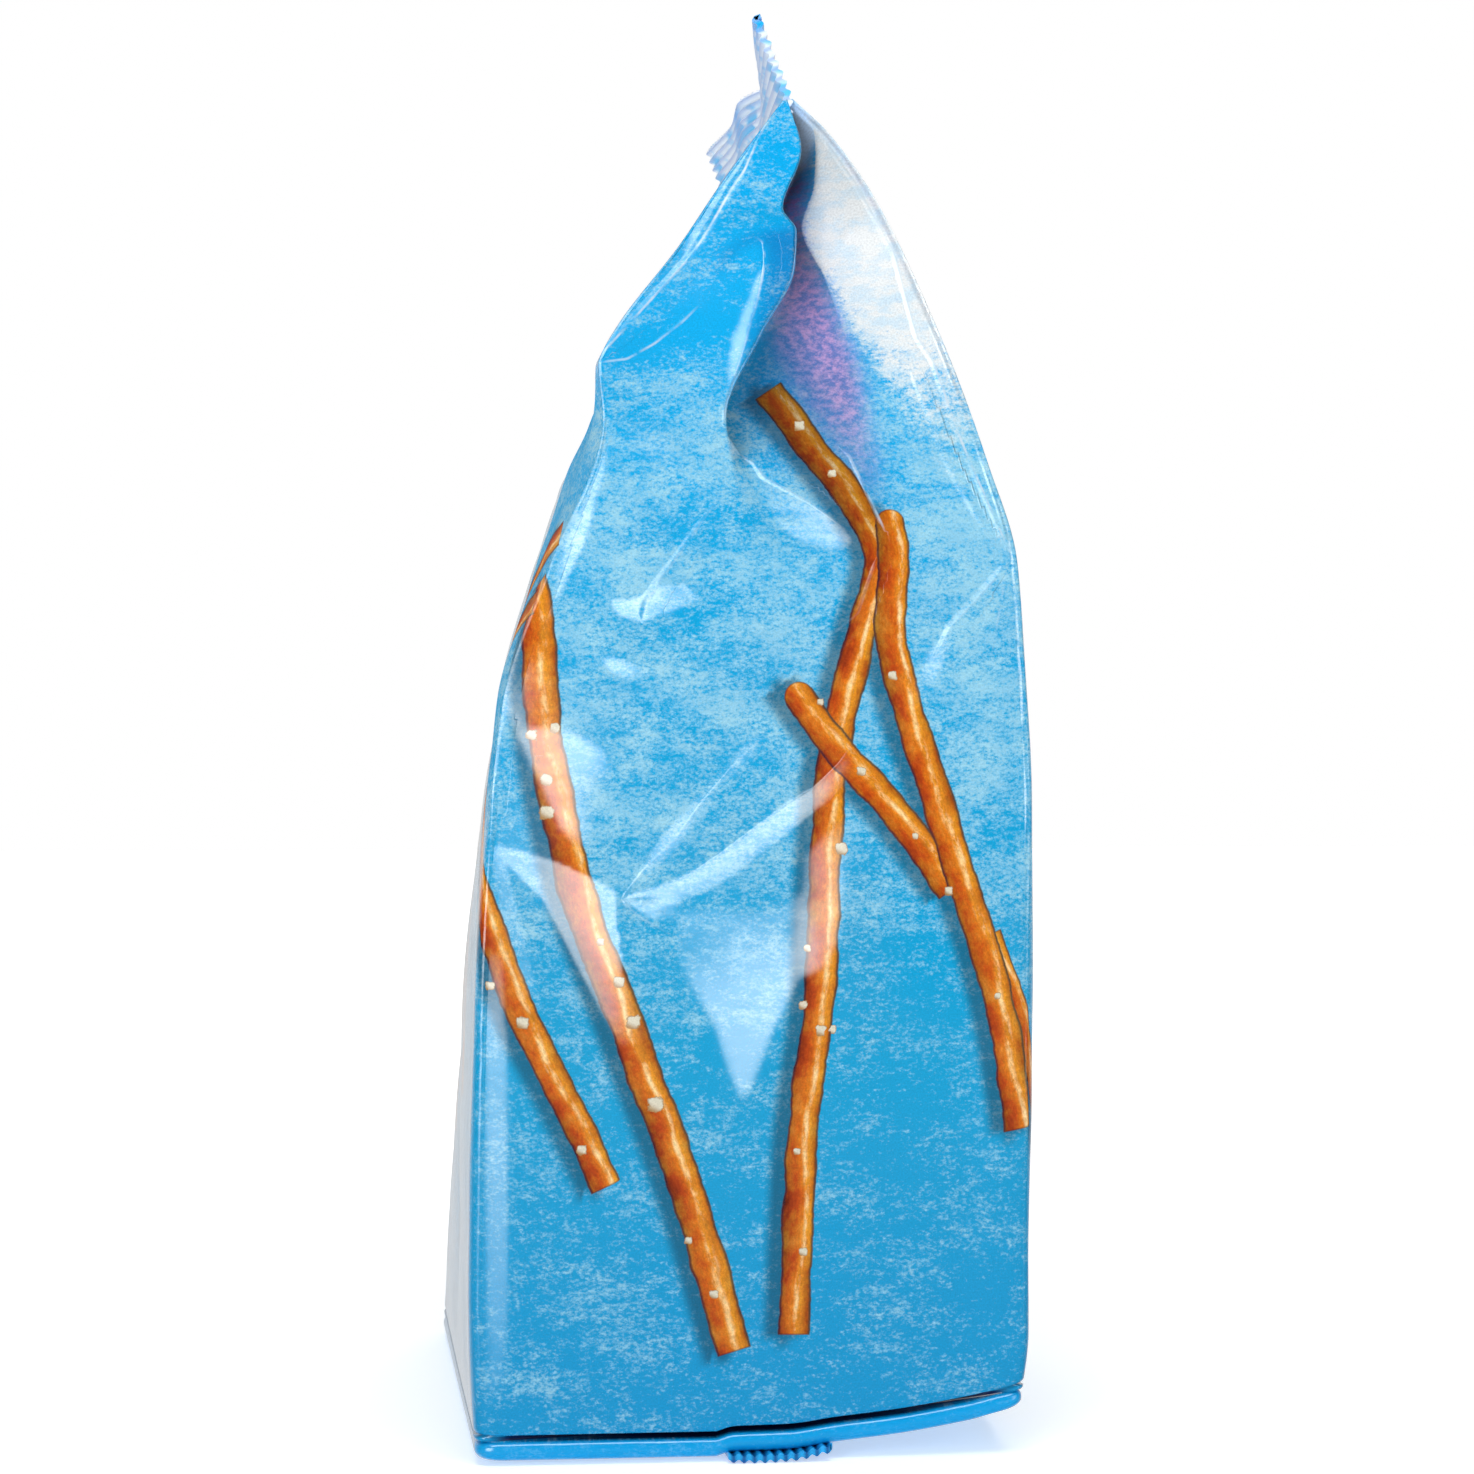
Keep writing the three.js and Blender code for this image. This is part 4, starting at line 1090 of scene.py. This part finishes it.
def printed_stick_group():
    """One layer of printed sticks over the colour below. The layer's vector is (across in radii,
    place along in mm, how far inside in mm)."""
    tree = bpy.data.node_groups.new("printed stick", "ShaderNodeTree")
    tree.interface.new_socket("Layer", in_out="INPUT", socket_type="NodeSocketVector")
    tree.interface.new_socket("Below", in_out="INPUT", socket_type="NodeSocketColor")
    tree.interface.new_socket("Color", in_out="OUTPUT", socket_type="NodeSocketColor")
    add = partial(add_node, tree)
    given = add("NodeGroupInput").outputs
    layer = add("ShaderNodeSeparateXYZ", {0: given["Layer"]}).outputs

    def grain(across, along, detail, roughness=0.6):
        """Noise that runs with the stick: across in its radii, along in millimetres."""
        place = add("ShaderNodeVectorMath", {
            0: given["Layer"], 1: (1 / across, 1 / along, 0)}, operation="MULTIPLY")
        return add("ShaderNodeTexNoise", {
            "Vector": place, "Scale": 1, "Detail": detail, "Roughness": roughness})

    # The baked crust swells and shrinks along each edge on its own.
    edge = add("ShaderNodeCombineXYZ", {
        "X": add("ShaderNodeMath", {0: add("ShaderNodeMath", {0: layer["X"]}, operation="SIGN"), 1: 7.0},
                 operation="MULTIPLY"),
        "Y": add("ShaderNodeMath", {0: layer["Y"], 1: 0.12}, operation="MULTIPLY")})
    knobs = add("ShaderNodeTexNoise", {"Vector": edge, "Scale": 1, "Detail": 5, "Roughness": 0.55})
    width = add("ShaderNodeMath", {0: knobs, 1: 0.8, 2: 0.6}, operation="MULTIPLY_ADD")
    t = add("ShaderNodeMath", {0: layer["X"], 1: width}, operation="DIVIDE")
    off = add("ShaderNodeMath", {0: t}, operation="ABSOLUTE")
    # Brown on the left, golden on the right, and a streak of gloss that breaks up along the stick.
    wobble = add("ShaderNodeMath", {0: grain(2.2, 9, 3), 1: 0.5}, operation="SUBTRACT")
    place = add("ShaderNodeMath", {0: t, 1: 0.5, 2: 0.5}, operation="MULTIPLY_ADD")
    place = add("ShaderNodeMath", {0: wobble, 1: 0.35, 2: place}, operation="MULTIPLY_ADD")
    baked = add("ShaderNodeMath", {0: grain(8, 34, 2), 1: 0.5}, operation="SUBTRACT")
    place = add("ShaderNodeMath", {0: baked, 1: 1.1, 2: place}, operation="MULTIPLY_ADD")
    body = add("ShaderNodeValToRGB", {"Fac": place}, [
        (0.0, "#4a1202"), (0.14, "#862a04"), (0.34, "#b44206"), (0.5, "#d0660c"), (0.64, "#e89e28"),
        (0.84, "#d88c1c"), (1.0, "#904c0c")])
    crust = add("ShaderNodeValToRGB", {"Fac": grain(1.5, 6, 5, 0.66)}, [
        (0.3, "#6e2004"), (0.43, "#b44606"), (0.55, "#d28218"), (0.68, "#e6aa3c")])
    body = add("ShaderNodeMix", {0: 0.42, 6: body, 7: crust}, data_type="RGBA")
    near = add("ShaderNodeMath", {0: place, 1: 0.66}, operation="SUBTRACT")
    near = add("ShaderNodeMath", {0: near}, operation="ABSOLUTE")
    streak = add("ShaderNodeMapRange", {"Value": near, "From Min": 0.14, "From Max": 0.0},
                 interpolation_type="SMOOTHSTEP")
    broken = add("ShaderNodeMapRange", {"Value": grain(0.8, 6, 5, 0.7), "From Min": 0.44, "From Max": 0.62})
    gloss = add("ShaderNodeMath", {0: streak, 1: broken}, operation="MULTIPLY")
    body = add("ShaderNodeMix", {0: gloss, 6: body, 7: colour("#f4d49c")}, data_type="RGBA")
    pores = add("ShaderNodeMapRange", {"Value": grain(0.16, 0.9, 4, 0.7), "From Min": 0.3, "From Max": 0.7,
                                       "To Min": 0.72, "To Max": 1.25})
    body = add("ShaderNodeVectorMath", {0: body, 1: pores}, operation="MULTIPLY")
    # A thin dark outline all round, and at the cut ends.
    rim = add("ShaderNodeMapRange", {"Value": off, "From Min": 0.8, "From Max": 0.95},
              interpolation_type="SMOOTHSTEP")
    cut = add("ShaderNodeMapRange", {
        "Value": layer["Z"], "From Min": 0.1, "From Max": 0.4, "To Min": 1.0, "To Max": 0.0})
    line = add("ShaderNodeMath", {0: rim, 1: cut}, operation="MAXIMUM")
    line = add("ShaderNodeMath", {0: line, 1: 0.8}, operation="MULTIPLY")
    right = add("ShaderNodeMath", {0: layer["X"], 1: 0.0}, operation="GREATER_THAN")
    rim_colour = add("ShaderNodeMix", {0: right, 6: colour("#2c1a2a"), 7: colour("#1d3a34")},
                     data_type="RGBA")
    body = add("ShaderNodeMix", {0: line, 6: body, 7: rim_colour}, data_type="RGBA")
    inside = add("ShaderNodeMapRange", {
        "Value": off, "From Min": 0.98, "From Max": 1.06, "To Min": 1.0, "To Max": 0.0})
    before_cut = add("ShaderNodeMapRange", {"Value": layer["Z"], "From Min": 0.0, "From Max": 0.15})
    cover = add("ShaderNodeMath", {0: inside, 1: before_cut}, operation="MULTIPLY")
    over = add("ShaderNodeMix", {0: cover, 6: given["Below"], 7: body}, data_type="RGBA")
    add("NodeGroupOutput", {"Color": over})
    return tree


FLANK_SLOPE = 0.16  # how steeply the film climbs to a crease, on average


def printed_film(attributes):
    """Biaxially oriented polypropylene, printed on its inner face and glossy outside: a clear even
    gloss over deep ink, white along folds where the ink has cracked, with a painted highlight there too."""
    material, tree, shader = new_material("printed polypropylene film", IOR=1.5, Roughness=0.22,
                                          Coat_Weight=1.0, Coat_Roughness=0.12, Coat_IOR=1.55)
    add = partial(add_node, tree)
    on_film = {
        name: add("ShaderNodeAttribute", attribute_name=name).outputs["Vector" if values.ndim == 2 else "Fac"]
        for name, values in attributes.items()}
    place = on_film["print_place"]

    def grain(size_u, size_z, detail, turn=0, roughness=0.6):
        """Noise on the print whose grain is so many millimetres wide and high."""
        mapped = add("ShaderNodeMapping", {
            "Vector": place, "Rotation": (0, 0, math.radians(turn)), "Scale": (1 / size_u, 1 / size_z, 1)})
        return add("ShaderNodeTexNoise", {
            "Vector": mapped, "Scale": 1, "Detail": detail, "Roughness": roughness})

    # Deep blue ground with pale fibres, in clusters of 1 to 3 mm, which thicken in drifts.
    drift = add("ShaderNodeMath", {0: grain(16, 8, 3), 1: 0.5}, operation="SUBTRACT")
    cover = add("ShaderNodeMath", {0: drift, 1: 1.2, 2: on_film["fibre_cover"]},
                operation="MULTIPLY_ADD")
    fibres = add("ShaderNodeMath", {0: grain(2.7, 1.6, 6, 6, 0.72), 1: grain(0.75, 0.52, 3, -8, 0.7)},
                 operation="ADD")
    fibres = add("ShaderNodeMath", {0: cover, 1: 0.6, 2: fibres}, operation="MULTIPLY_ADD")
    fleck = add("ShaderNodeMapRange", {"Value": fibres, "From Min": 1.08, "From Max": 1.5},
                interpolation_type="SMOOTHSTEP")
    height = add("ShaderNodeSeparateXYZ", {0: place}).outputs["Y"]
    rise = add("ShaderNodeMapRange", {"Value": height, "From Min": 0, "From Max": 226})
    deep = add("ShaderNodeValToRGB", {"Fac": rise}, [
        (0.0, "#0490c8"), (0.3, "#0599cb"), (0.6, "#049cd2"), (0.85, "#02a2de"), (1.0, "#03a2e0")])
    pale = add("ShaderNodeValToRGB", {"Fac": grain(8, 5, 3)}, [(0.4, "#80bedb"), (0.6, "#92c8dd")])
    ground = add("ShaderNodeMix", {0: fleck, 6: deep, 7: pale}, data_type="RGBA")
    # Violet at the top of the narrow side, speckled like the blue: painted shade and reflection in the
    # valley.
    pinker = add("ShaderNodeValToRGB", {"Fac": rise}, [
        (0.7, "#8fa6d6"), (0.78, "#bf98c6"), (0.9, "#cc9cd4"), (0.95, "#e070c8")])
    bluer = add("ShaderNodeValToRGB", {"Fac": rise}, [
        (0.72, "#3f86c2"), (0.8, "#666fb2"), (0.88, "#7480c8"), (0.95, "#98acf8")])
    specks = add("ShaderNodeMapRange", {
        "Value": grain(1.6, 1.1, 4, 30, 0.7), "From Min": 0.42, "From Max": 0.62})
    violet = add("ShaderNodeMix", {0: specks, 6: bluer, 7: pinker}, data_type="RGBA")
    # Over the valley: its painted violet shade, and pale painted light at its top.
    for painted_patch, over in (("valley_violet_shade", violet), ("valley_top_painted_light", colour("#dcecff"))):
        ground = add("ShaderNodeMix", {0: on_film[painted_patch], 6: ground, 7: over}, data_type="RGBA")
    # White, partly print that fades out and partly painted glare, that sets in grain by grain.
    white = add("ShaderNodeMath", {0: fibres, 1: 0.9}, operation="SUBTRACT")
    white = add("ShaderNodeMath", {0: on_film["white_print_and_glare"], 1: 1.15, 2: white},
                operation="MULTIPLY_ADD")
    white = add("ShaderNodeMapRange", {"Value": white, "From Min": 0.75, "From Max": 1.35},
                interpolation_type="SMOOTHSTEP")
    pale_print_and_glare = add("ShaderNodeValToRGB", {"Fac": grain(5, 3, 5, 20, 0.7)}, [
        (0.4, "#c4d8e4"), (0.55, "#dde1e2")])
    ground = add("ShaderNodeMix", {0: white, 6: ground, 7: pale_print_and_glare}, data_type="RGBA")
    # The sticks throw a printed shadow to their left.
    drop = add("ShaderNodeMath", {0: on_film["drop_shadow"], 1: 0.72}, operation="MULTIPLY")
    picture = add("ShaderNodeMix", {0: drop, 6: ground, 7: colour("#12465f")}, data_type="RGBA")
    sticks = printed_stick_group()
    for layer in ("lower_sticks", "middle_sticks", "upper_sticks"):
        picture = add("ShaderNodeGroup", {"Layer": on_film[layer], "Below": picture}, node_tree=sticks)

    # What lies in shade turns darker and bluer.
    darker = add("ShaderNodeVectorMath", {0: picture, 1: (0.28, 0.42, 0.6)}, operation="MULTIPLY")
    picture = add("ShaderNodeMix", {0: on_film["shade"], 6: picture, 7: darker}, data_type="RGBA")

    # Grains of salt: blunt crystals with a lit upper side and a brown rim.
    salt = on_film["salt"]
    salt_xyz = add("ShaderNodeSeparateXYZ", {0: salt}).outputs
    cubed = add("ShaderNodeVectorMath", {0: salt, 1: salt}, operation="MULTIPLY")
    cubed = add("ShaderNodeVectorMath", {0: cubed, 1: (1, 1, 0)}, operation="MULTIPLY")
    squared = add("ShaderNodeVectorMath", {0: cubed}, operation="LENGTH").outputs["Value"]
    radial = add("ShaderNodeMath", {0: squared}, operation="SQRT")
    ragged = add("ShaderNodeMath", {0: grain(1.1, 1.1, 3), 1: 1.0, 2: radial}, operation="MULTIPLY_ADD")
    # Between two grains their numbers blend, and what lies there belongs to neither.
    number = add("ShaderNodeMath", {0: salt_xyz["Z"]}, operation="ROUND")
    inside = add("ShaderNodeMath", {0: salt_xyz["Z"], 1: number, 2: 0.02}, operation="COMPARE")
    grains = add("ShaderNodeMapRange", {"Value": ragged, "From Min": 1.36, "From Max": 1.26})
    grains = add("ShaderNodeMath", {0: grains, 1: inside}, operation="MULTIPLY")
    lit = add("ShaderNodeMath", {0: salt_xyz["X"], 1: 0.5, 2: salt_xyz["Y"]}, operation="MULTIPLY_ADD")
    lit = add("ShaderNodeMapRange", {"Value": lit, "From Min": -1.0, "From Max": 0.1},
              interpolation_type="SMOOTHSTEP")
    rind = add("ShaderNodeMapRange", {"Value": ragged, "From Min": 1.28, "From Max": 1.12})
    lit = add("ShaderNodeMath", {0: lit, 1: rind}, operation="MULTIPLY")
    crystal = add("ShaderNodeMix", {0: lit, 6: colour("#a07a48"), 7: colour("#d2ccb8")}, data_type="RGBA")
    picture = add("ShaderNodeMix", {0: grains, 6: picture, 7: crystal}, data_type="RGBA")

    # The dots of the print screen: too fine to show, so drawn 0.3 mm wide.
    dots = add("ShaderNodeMapRange", {"Value": grain(0.3, 0.3, 2), "From Min": 0.25, "From Max": 0.75,
                                      "To Min": 0.84, "To Max": 1.16})
    picture = add("ShaderNodeVectorMath", {0: picture, 1: dots}, operation="MULTIPLY")

    # Ink cracked white along folds, with a painted highlight: a hairline that comes and goes.
    wear_and_highlight = add("ShaderNodeSeparateXYZ", {0: on_film["crease_wear_and_highlight"]}).outputs
    gap = add("ShaderNodeMath", {0: wear_and_highlight["X"]}, operation="ABSOLUTE")
    crack_and_highlight = add("ShaderNodeMapRange", {"Value": gap, "From Min": 0.3, "From Max": 0.05},
                interpolation_type="SMOOTHSTEP")
    comes = add("ShaderNodeMapRange", {"Value": grain(4, 4, 3), "From Min": 0.38, "From Max": 0.6})
    crack_and_highlight = add("ShaderNodeMath", {0: crack_and_highlight, 1: comes}, operation="MULTIPLY")
    crack_and_highlight = add("ShaderNodeMath", {0: crack_and_highlight, 1: wear_and_highlight["Y"]}, operation="MULTIPLY")
    # Between two creases their signed distances don't meet: there the plain distance is the larger.
    stray = add("ShaderNodeMath", {0: wear_and_highlight["Z"], 1: gap}, operation="SUBTRACT")
    true = add("ShaderNodeMapRange", {"Value": stray, "From Min": 1.3, "From Max": 0.9})
    crack_and_highlight = add("ShaderNodeMath", {0: crack_and_highlight, 1: true}, operation="MULTIPLY")
    # Over it the plainer blue of the hem, and the dark of the fold under the narrow sides.
    hem = add("ShaderNodeMath", {0: on_film["hem"], 1: 0.75}, operation="MULTIPLY")
    for share, tint in ((crack_and_highlight, "#c4d4e0"), (hem, "#02a4e8"), (on_film["pocket_shade"], "#04134a")):
        picture = add("ShaderNodeMix", {0: share, 6: picture, 7: colour(tint)}, data_type="RGBA")
    tree.links.new(picture.outputs[2], shader.inputs["Base Color"])

    # The film climbs softly to a crease on the left of it and falls away slowly on the right.
    flank = add("ShaderNodeMath", {0: on_film["crease_flank"], 1: 0.02}, operation="MAXIMUM")
    climb = add("ShaderNodeMath", {0: wear_and_highlight["X"], 1: flank}, operation="DIVIDE")
    climb = add("ShaderNodeMapRange", {"Value": climb, "From Min": -1.0, "From Max": 0.0},
                interpolation_type="SMOOTHSTEP")
    fall = add("ShaderNodeMapRange", {"Value": wear_and_highlight["X"], "From Min": CREASE_FADE, "From Max": 0.0})
    crest = add("ShaderNodeMath", {0: climb, 1: fall}, operation="MINIMUM")
    crest = add("ShaderNodeMath", {0: crest, 1: flank}, operation="MULTIPLY")
    crest = add("ShaderNodeMath", {0: crest, 1: true}, operation="MULTIPLY")
    loose = add("ShaderNodeMapRange", {"Value": height, "From Min": 50, "From Max": 150,
                                       "To Min": 0.06, "To Max": 0.3})
    # The other sides, which have no facets, are rumpled more.
    other_sides = add("ShaderNodeMapRange", {
        "Value": on_film["facet_share"], "To Min": 5.0, "To Max": 1.0})
    loose = add("ShaderNodeMath", {0: loose, 1: other_sides}, operation="MULTIPLY")
    rumple = add("ShaderNodeMath", {0: grain(14, 10, 3), 1: loose}, operation="MULTIPLY")
    relief = add("ShaderNodeMath", {0: crest, 1: FLANK_SLOPE, 2: rumple}, operation="MULTIPLY_ADD")
    relief = add("ShaderNodeMath", {0: relief, 1: MM}, operation="MULTIPLY")
    turned = add("ShaderNodeMix", {
        0: on_film["facet_share"], 4: add("ShaderNodeNewGeometry").outputs["Normal"],
        5: on_film["facet_normal"]}, data_type="VECTOR")
    turned = add("ShaderNodeVectorMath", {0: turned}, operation="NORMALIZE")
    bump = add("ShaderNodeBump", {"Strength": 1.0, "Distance": 1.0, "Height": relief, "Normal": turned})
    for normal in ("Normal", "Coat Normal"):
        tree.links.new(bump.outputs[0], shader.inputs[normal])
    return material


def sealed_film(name, ground, stripe, groove_shade):
    """The same film, pressed hot between ribbed bars: duller, with painted shade in its grooves. The
    top seal's pale ground is painted glare.
    """
    material, tree, shader = new_material(name, IOR=1.5, Roughness=0.32)
    add = partial(add_node, tree)
    place = add("ShaderNodeTexCoord").outputs["Object"]
    mapped = add("ShaderNodeMapping", {"Vector": place, "Scale": (60, 90, 260)})
    noise = add("ShaderNodeTexNoise", {"Vector": mapped, "Scale": 1, "Detail": 3})
    striped = add("ShaderNodeMapRange", {"Value": noise, "From Min": 0.48, "From Max": 0.62},
                  interpolation_type="SMOOTHSTEP")
    blue_ink, painted_groove_shade = (
        add("ShaderNodeAttribute", attribute_name=name).outputs["Fac"] for name in ("blue_ink", "groove_shade"))
    film = colour(ground)
    for share, over in ((striped, stripe), (blue_ink, "#16a6ee"), (painted_groove_shade, groove_shade)):
        film = add("ShaderNodeMix", {0: share, 6: film, 7: colour(over)}, data_type="RGBA")
    tree.links.new(film.outputs[2], shader.inputs["Base Color"])
    return material


# ---- The pieces -----------------------------------------------------------------------------------
def finish_piece(piece):
    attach(piece, "root")


SHARP_EDGE = math.radians(50)


def add_seal(tree, name, material, bend, values):
    points, faces = flat_seal(tree, material, values)
    from_root = points[:, 1] + (CRIMP_HEIGHT + CRIMP_SINK) / 2
    # Painted shade in the grooves between the ribs.
    groove_shade = 0.5 - 0.5 * np.cos(2 * np.pi * from_root / CRIMP_PITCH)
    # The blue of the print comes through at the front end's upper corner and on the back lobe.
    from_front = points[:, 0] + values["Length"] / 2
    tip = smoothstep(from_root, 14.2, 14.8) * (1 - smoothstep(from_front, 6, 10))
    lobe = smoothstep(from_root, 9, 13) * np.exp(-(((from_front - 90) / 9) ** 2))
    piece = add_piece(name, bend(points), faces, material, {
        "groove_shade": groove_shade**2 * 0.8, "blue_ink": np.maximum(tip, lobe)})
    piece.data.set_sharp_from_angle(angle=SHARP_EDGE)
    finish_piece(piece)


points, faces, attributes = film_mesh()
skin = add_piece("film_skin", points, faces, printed_film(attributes), attributes)
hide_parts("bag")
finish_piece(skin)

seal_tree = crimped_seal_tree()
# The top seal's pale ground is painted glare.
glare_pale_seal = sealed_film("heat sealed film, painted glare", "#dfeaf6", "#58c0f2", "#86a6dc")
blue_seal = sealed_film("heat sealed film, blue", "#12a0e2", "#0a86d4", "#061a72")
add_seal(seal_tree, "top_seal", glare_pale_seal, bend_top, SEAL_INPUTS)
add_seal(seal_tree, "base_seal", blue_seal, bend_base, {**SEAL_INPUTS, "Length": BASE_SEAL_LENGTH})


# ---- Studio: a white floor and soft lights --------------------------------------------------------
FLOOR_SIZE = 6.0


def add_floor():
    """A matt white floor, wide enough to reach the horizon of every view, and lit from below away
    from the bag, so that it runs into the white behind it."""
    material, tree, shader = new_material("matt white floor", Base_Color=colour("#fbfbfb"),
                                          Roughness=0.9, Emission_Color=colour("#ffffff"))
    add = partial(add_node, tree)
    place = add("ShaderNodeTexCoord").outputs["Object"]
    away = add("ShaderNodeVectorMath", {0: place}, operation="LENGTH").outputs["Value"]
    glow = add("ShaderNodeMapRange", {
        "Value": away, "From Min": 0.12, "From Max": 0.9, "To Min": 0.45, "To Max": 1.0})
    tree.links.new(glow.outputs[0], shader.inputs["Emission Strength"])
    half = FLOOR_SIZE / 2
    mesh = bpy.data.meshes.new("floor")
    mesh.from_pydata([(-half, -half, 0), (half, -half, 0), (half, half, 0), (-half, half, 0)], [],
                     [(0, 1, 2, 3)])
    mesh.materials.append(material)
    floor = add_object("floor", mesh)
    floor.visible_glossy = False  # the film mirrors a dim studio, not the white ground


def soften_edges(light, core):
    """The cloth of a softbox is brightest in its middle, the core, and fades towards its rim."""
    light.use_nodes = True
    tree = light.node_tree
    add = partial(add_node, tree)
    across = add("ShaderNodeSeparateXYZ", {
        0: add("ShaderNodeNewGeometry").outputs["Parametric"]}).outputs
    fades = []
    for axis in ("X", "Y"):
        off = add("ShaderNodeMath", {0: across[axis], 1: 0.5}, operation="SUBTRACT")
        off = add("ShaderNodeMath", {0: off}, operation="ABSOLUTE")
        fades.append(add("ShaderNodeMapRange", {"Value": off, "From Min": 0.5, "From Max": core / 2},
                         interpolation_type="SMOOTHSTEP"))
    strength = add("ShaderNodeMath", {0: fades[0], 1: fades[1]}, operation="MULTIPLY")
    tree.links.new(strength.outputs[0], tree.nodes["Emission"].inputs["Strength"])


BAG_MIDDLE = 0.11  # the height that the softboxes are turned to, in metres


def add_softbox(name, azimuth, elevation, distance, width, height, power, core):
    """A rectangular light, turned to the middle of the bag. Azimuth 0 is in front, + to the right;
    sizes are in metres, the power in watts."""
    data = bpy.data.lights.new(name, "AREA")
    data.shape = "RECTANGLE"
    data.size, data.size_y = width, height
    data.energy = power
    soften_edges(data, core)
    light = add_object(name, data)
    a, e = math.radians(azimuth), math.radians(elevation)
    light.location = (math.sin(a) * math.cos(e) * distance, -math.cos(a) * math.cos(e) * distance,
                      BAG_MIDDLE + math.sin(e) * distance)
    light.rotation_euler = (math.radians(90) - e, 0, a)
    light.visible_camera = False


def add_room():
    """White where the camera sees it; to the bag it is bright behind and dim in front."""
    world = bpy.data.worlds.new("studio")
    world.use_nodes = True
    tree = world.node_tree
    tree.nodes.clear()
    add = partial(add_node, tree)
    direction = add("ShaderNodeSeparateXYZ", {
        0: add("ShaderNodeTexCoord").outputs["Generated"]}).outputs["Y"]
    behind = add("ShaderNodeMapRange", {
        "Value": direction, "From Min": 0.2, "From Max": 0.8, "To Min": 0.04, "To Max": 0.7})
    room = add("ShaderNodeBackground", {"Color": (1, 1, 1, 1), "Strength": behind})
    seen = add("ShaderNodeBackground", {"Color": (1, 1, 1, 1), "Strength": 1.0})
    rays = add("ShaderNodeLightPath").outputs
    both = add("ShaderNodeMixShader", {0: rays["Is Camera Ray"], 1: room, 2: seen})
    add("ShaderNodeOutputWorld", {"Surface": both})
    bpy.context.scene.world = world


add_floor()
add_room()
for softbox in (
    ("left softbox", -32, 10, 1.6, 1.35, 1.5, 34, 0.15),
    ("right softbox", 48, 12, 1.6, 1.0, 1.5, 8, 0.5),
    ("overhead softbox", 0, 62, 1.6, 1.6, 1.0, 22, 0.5),
    ("back softbox", 178, 35, 1.8, 1.6, 1.2, 10, 0.5),
):
    add_softbox(*softbox)
bpy.context.scene.view_settings.view_transform = "Standard"
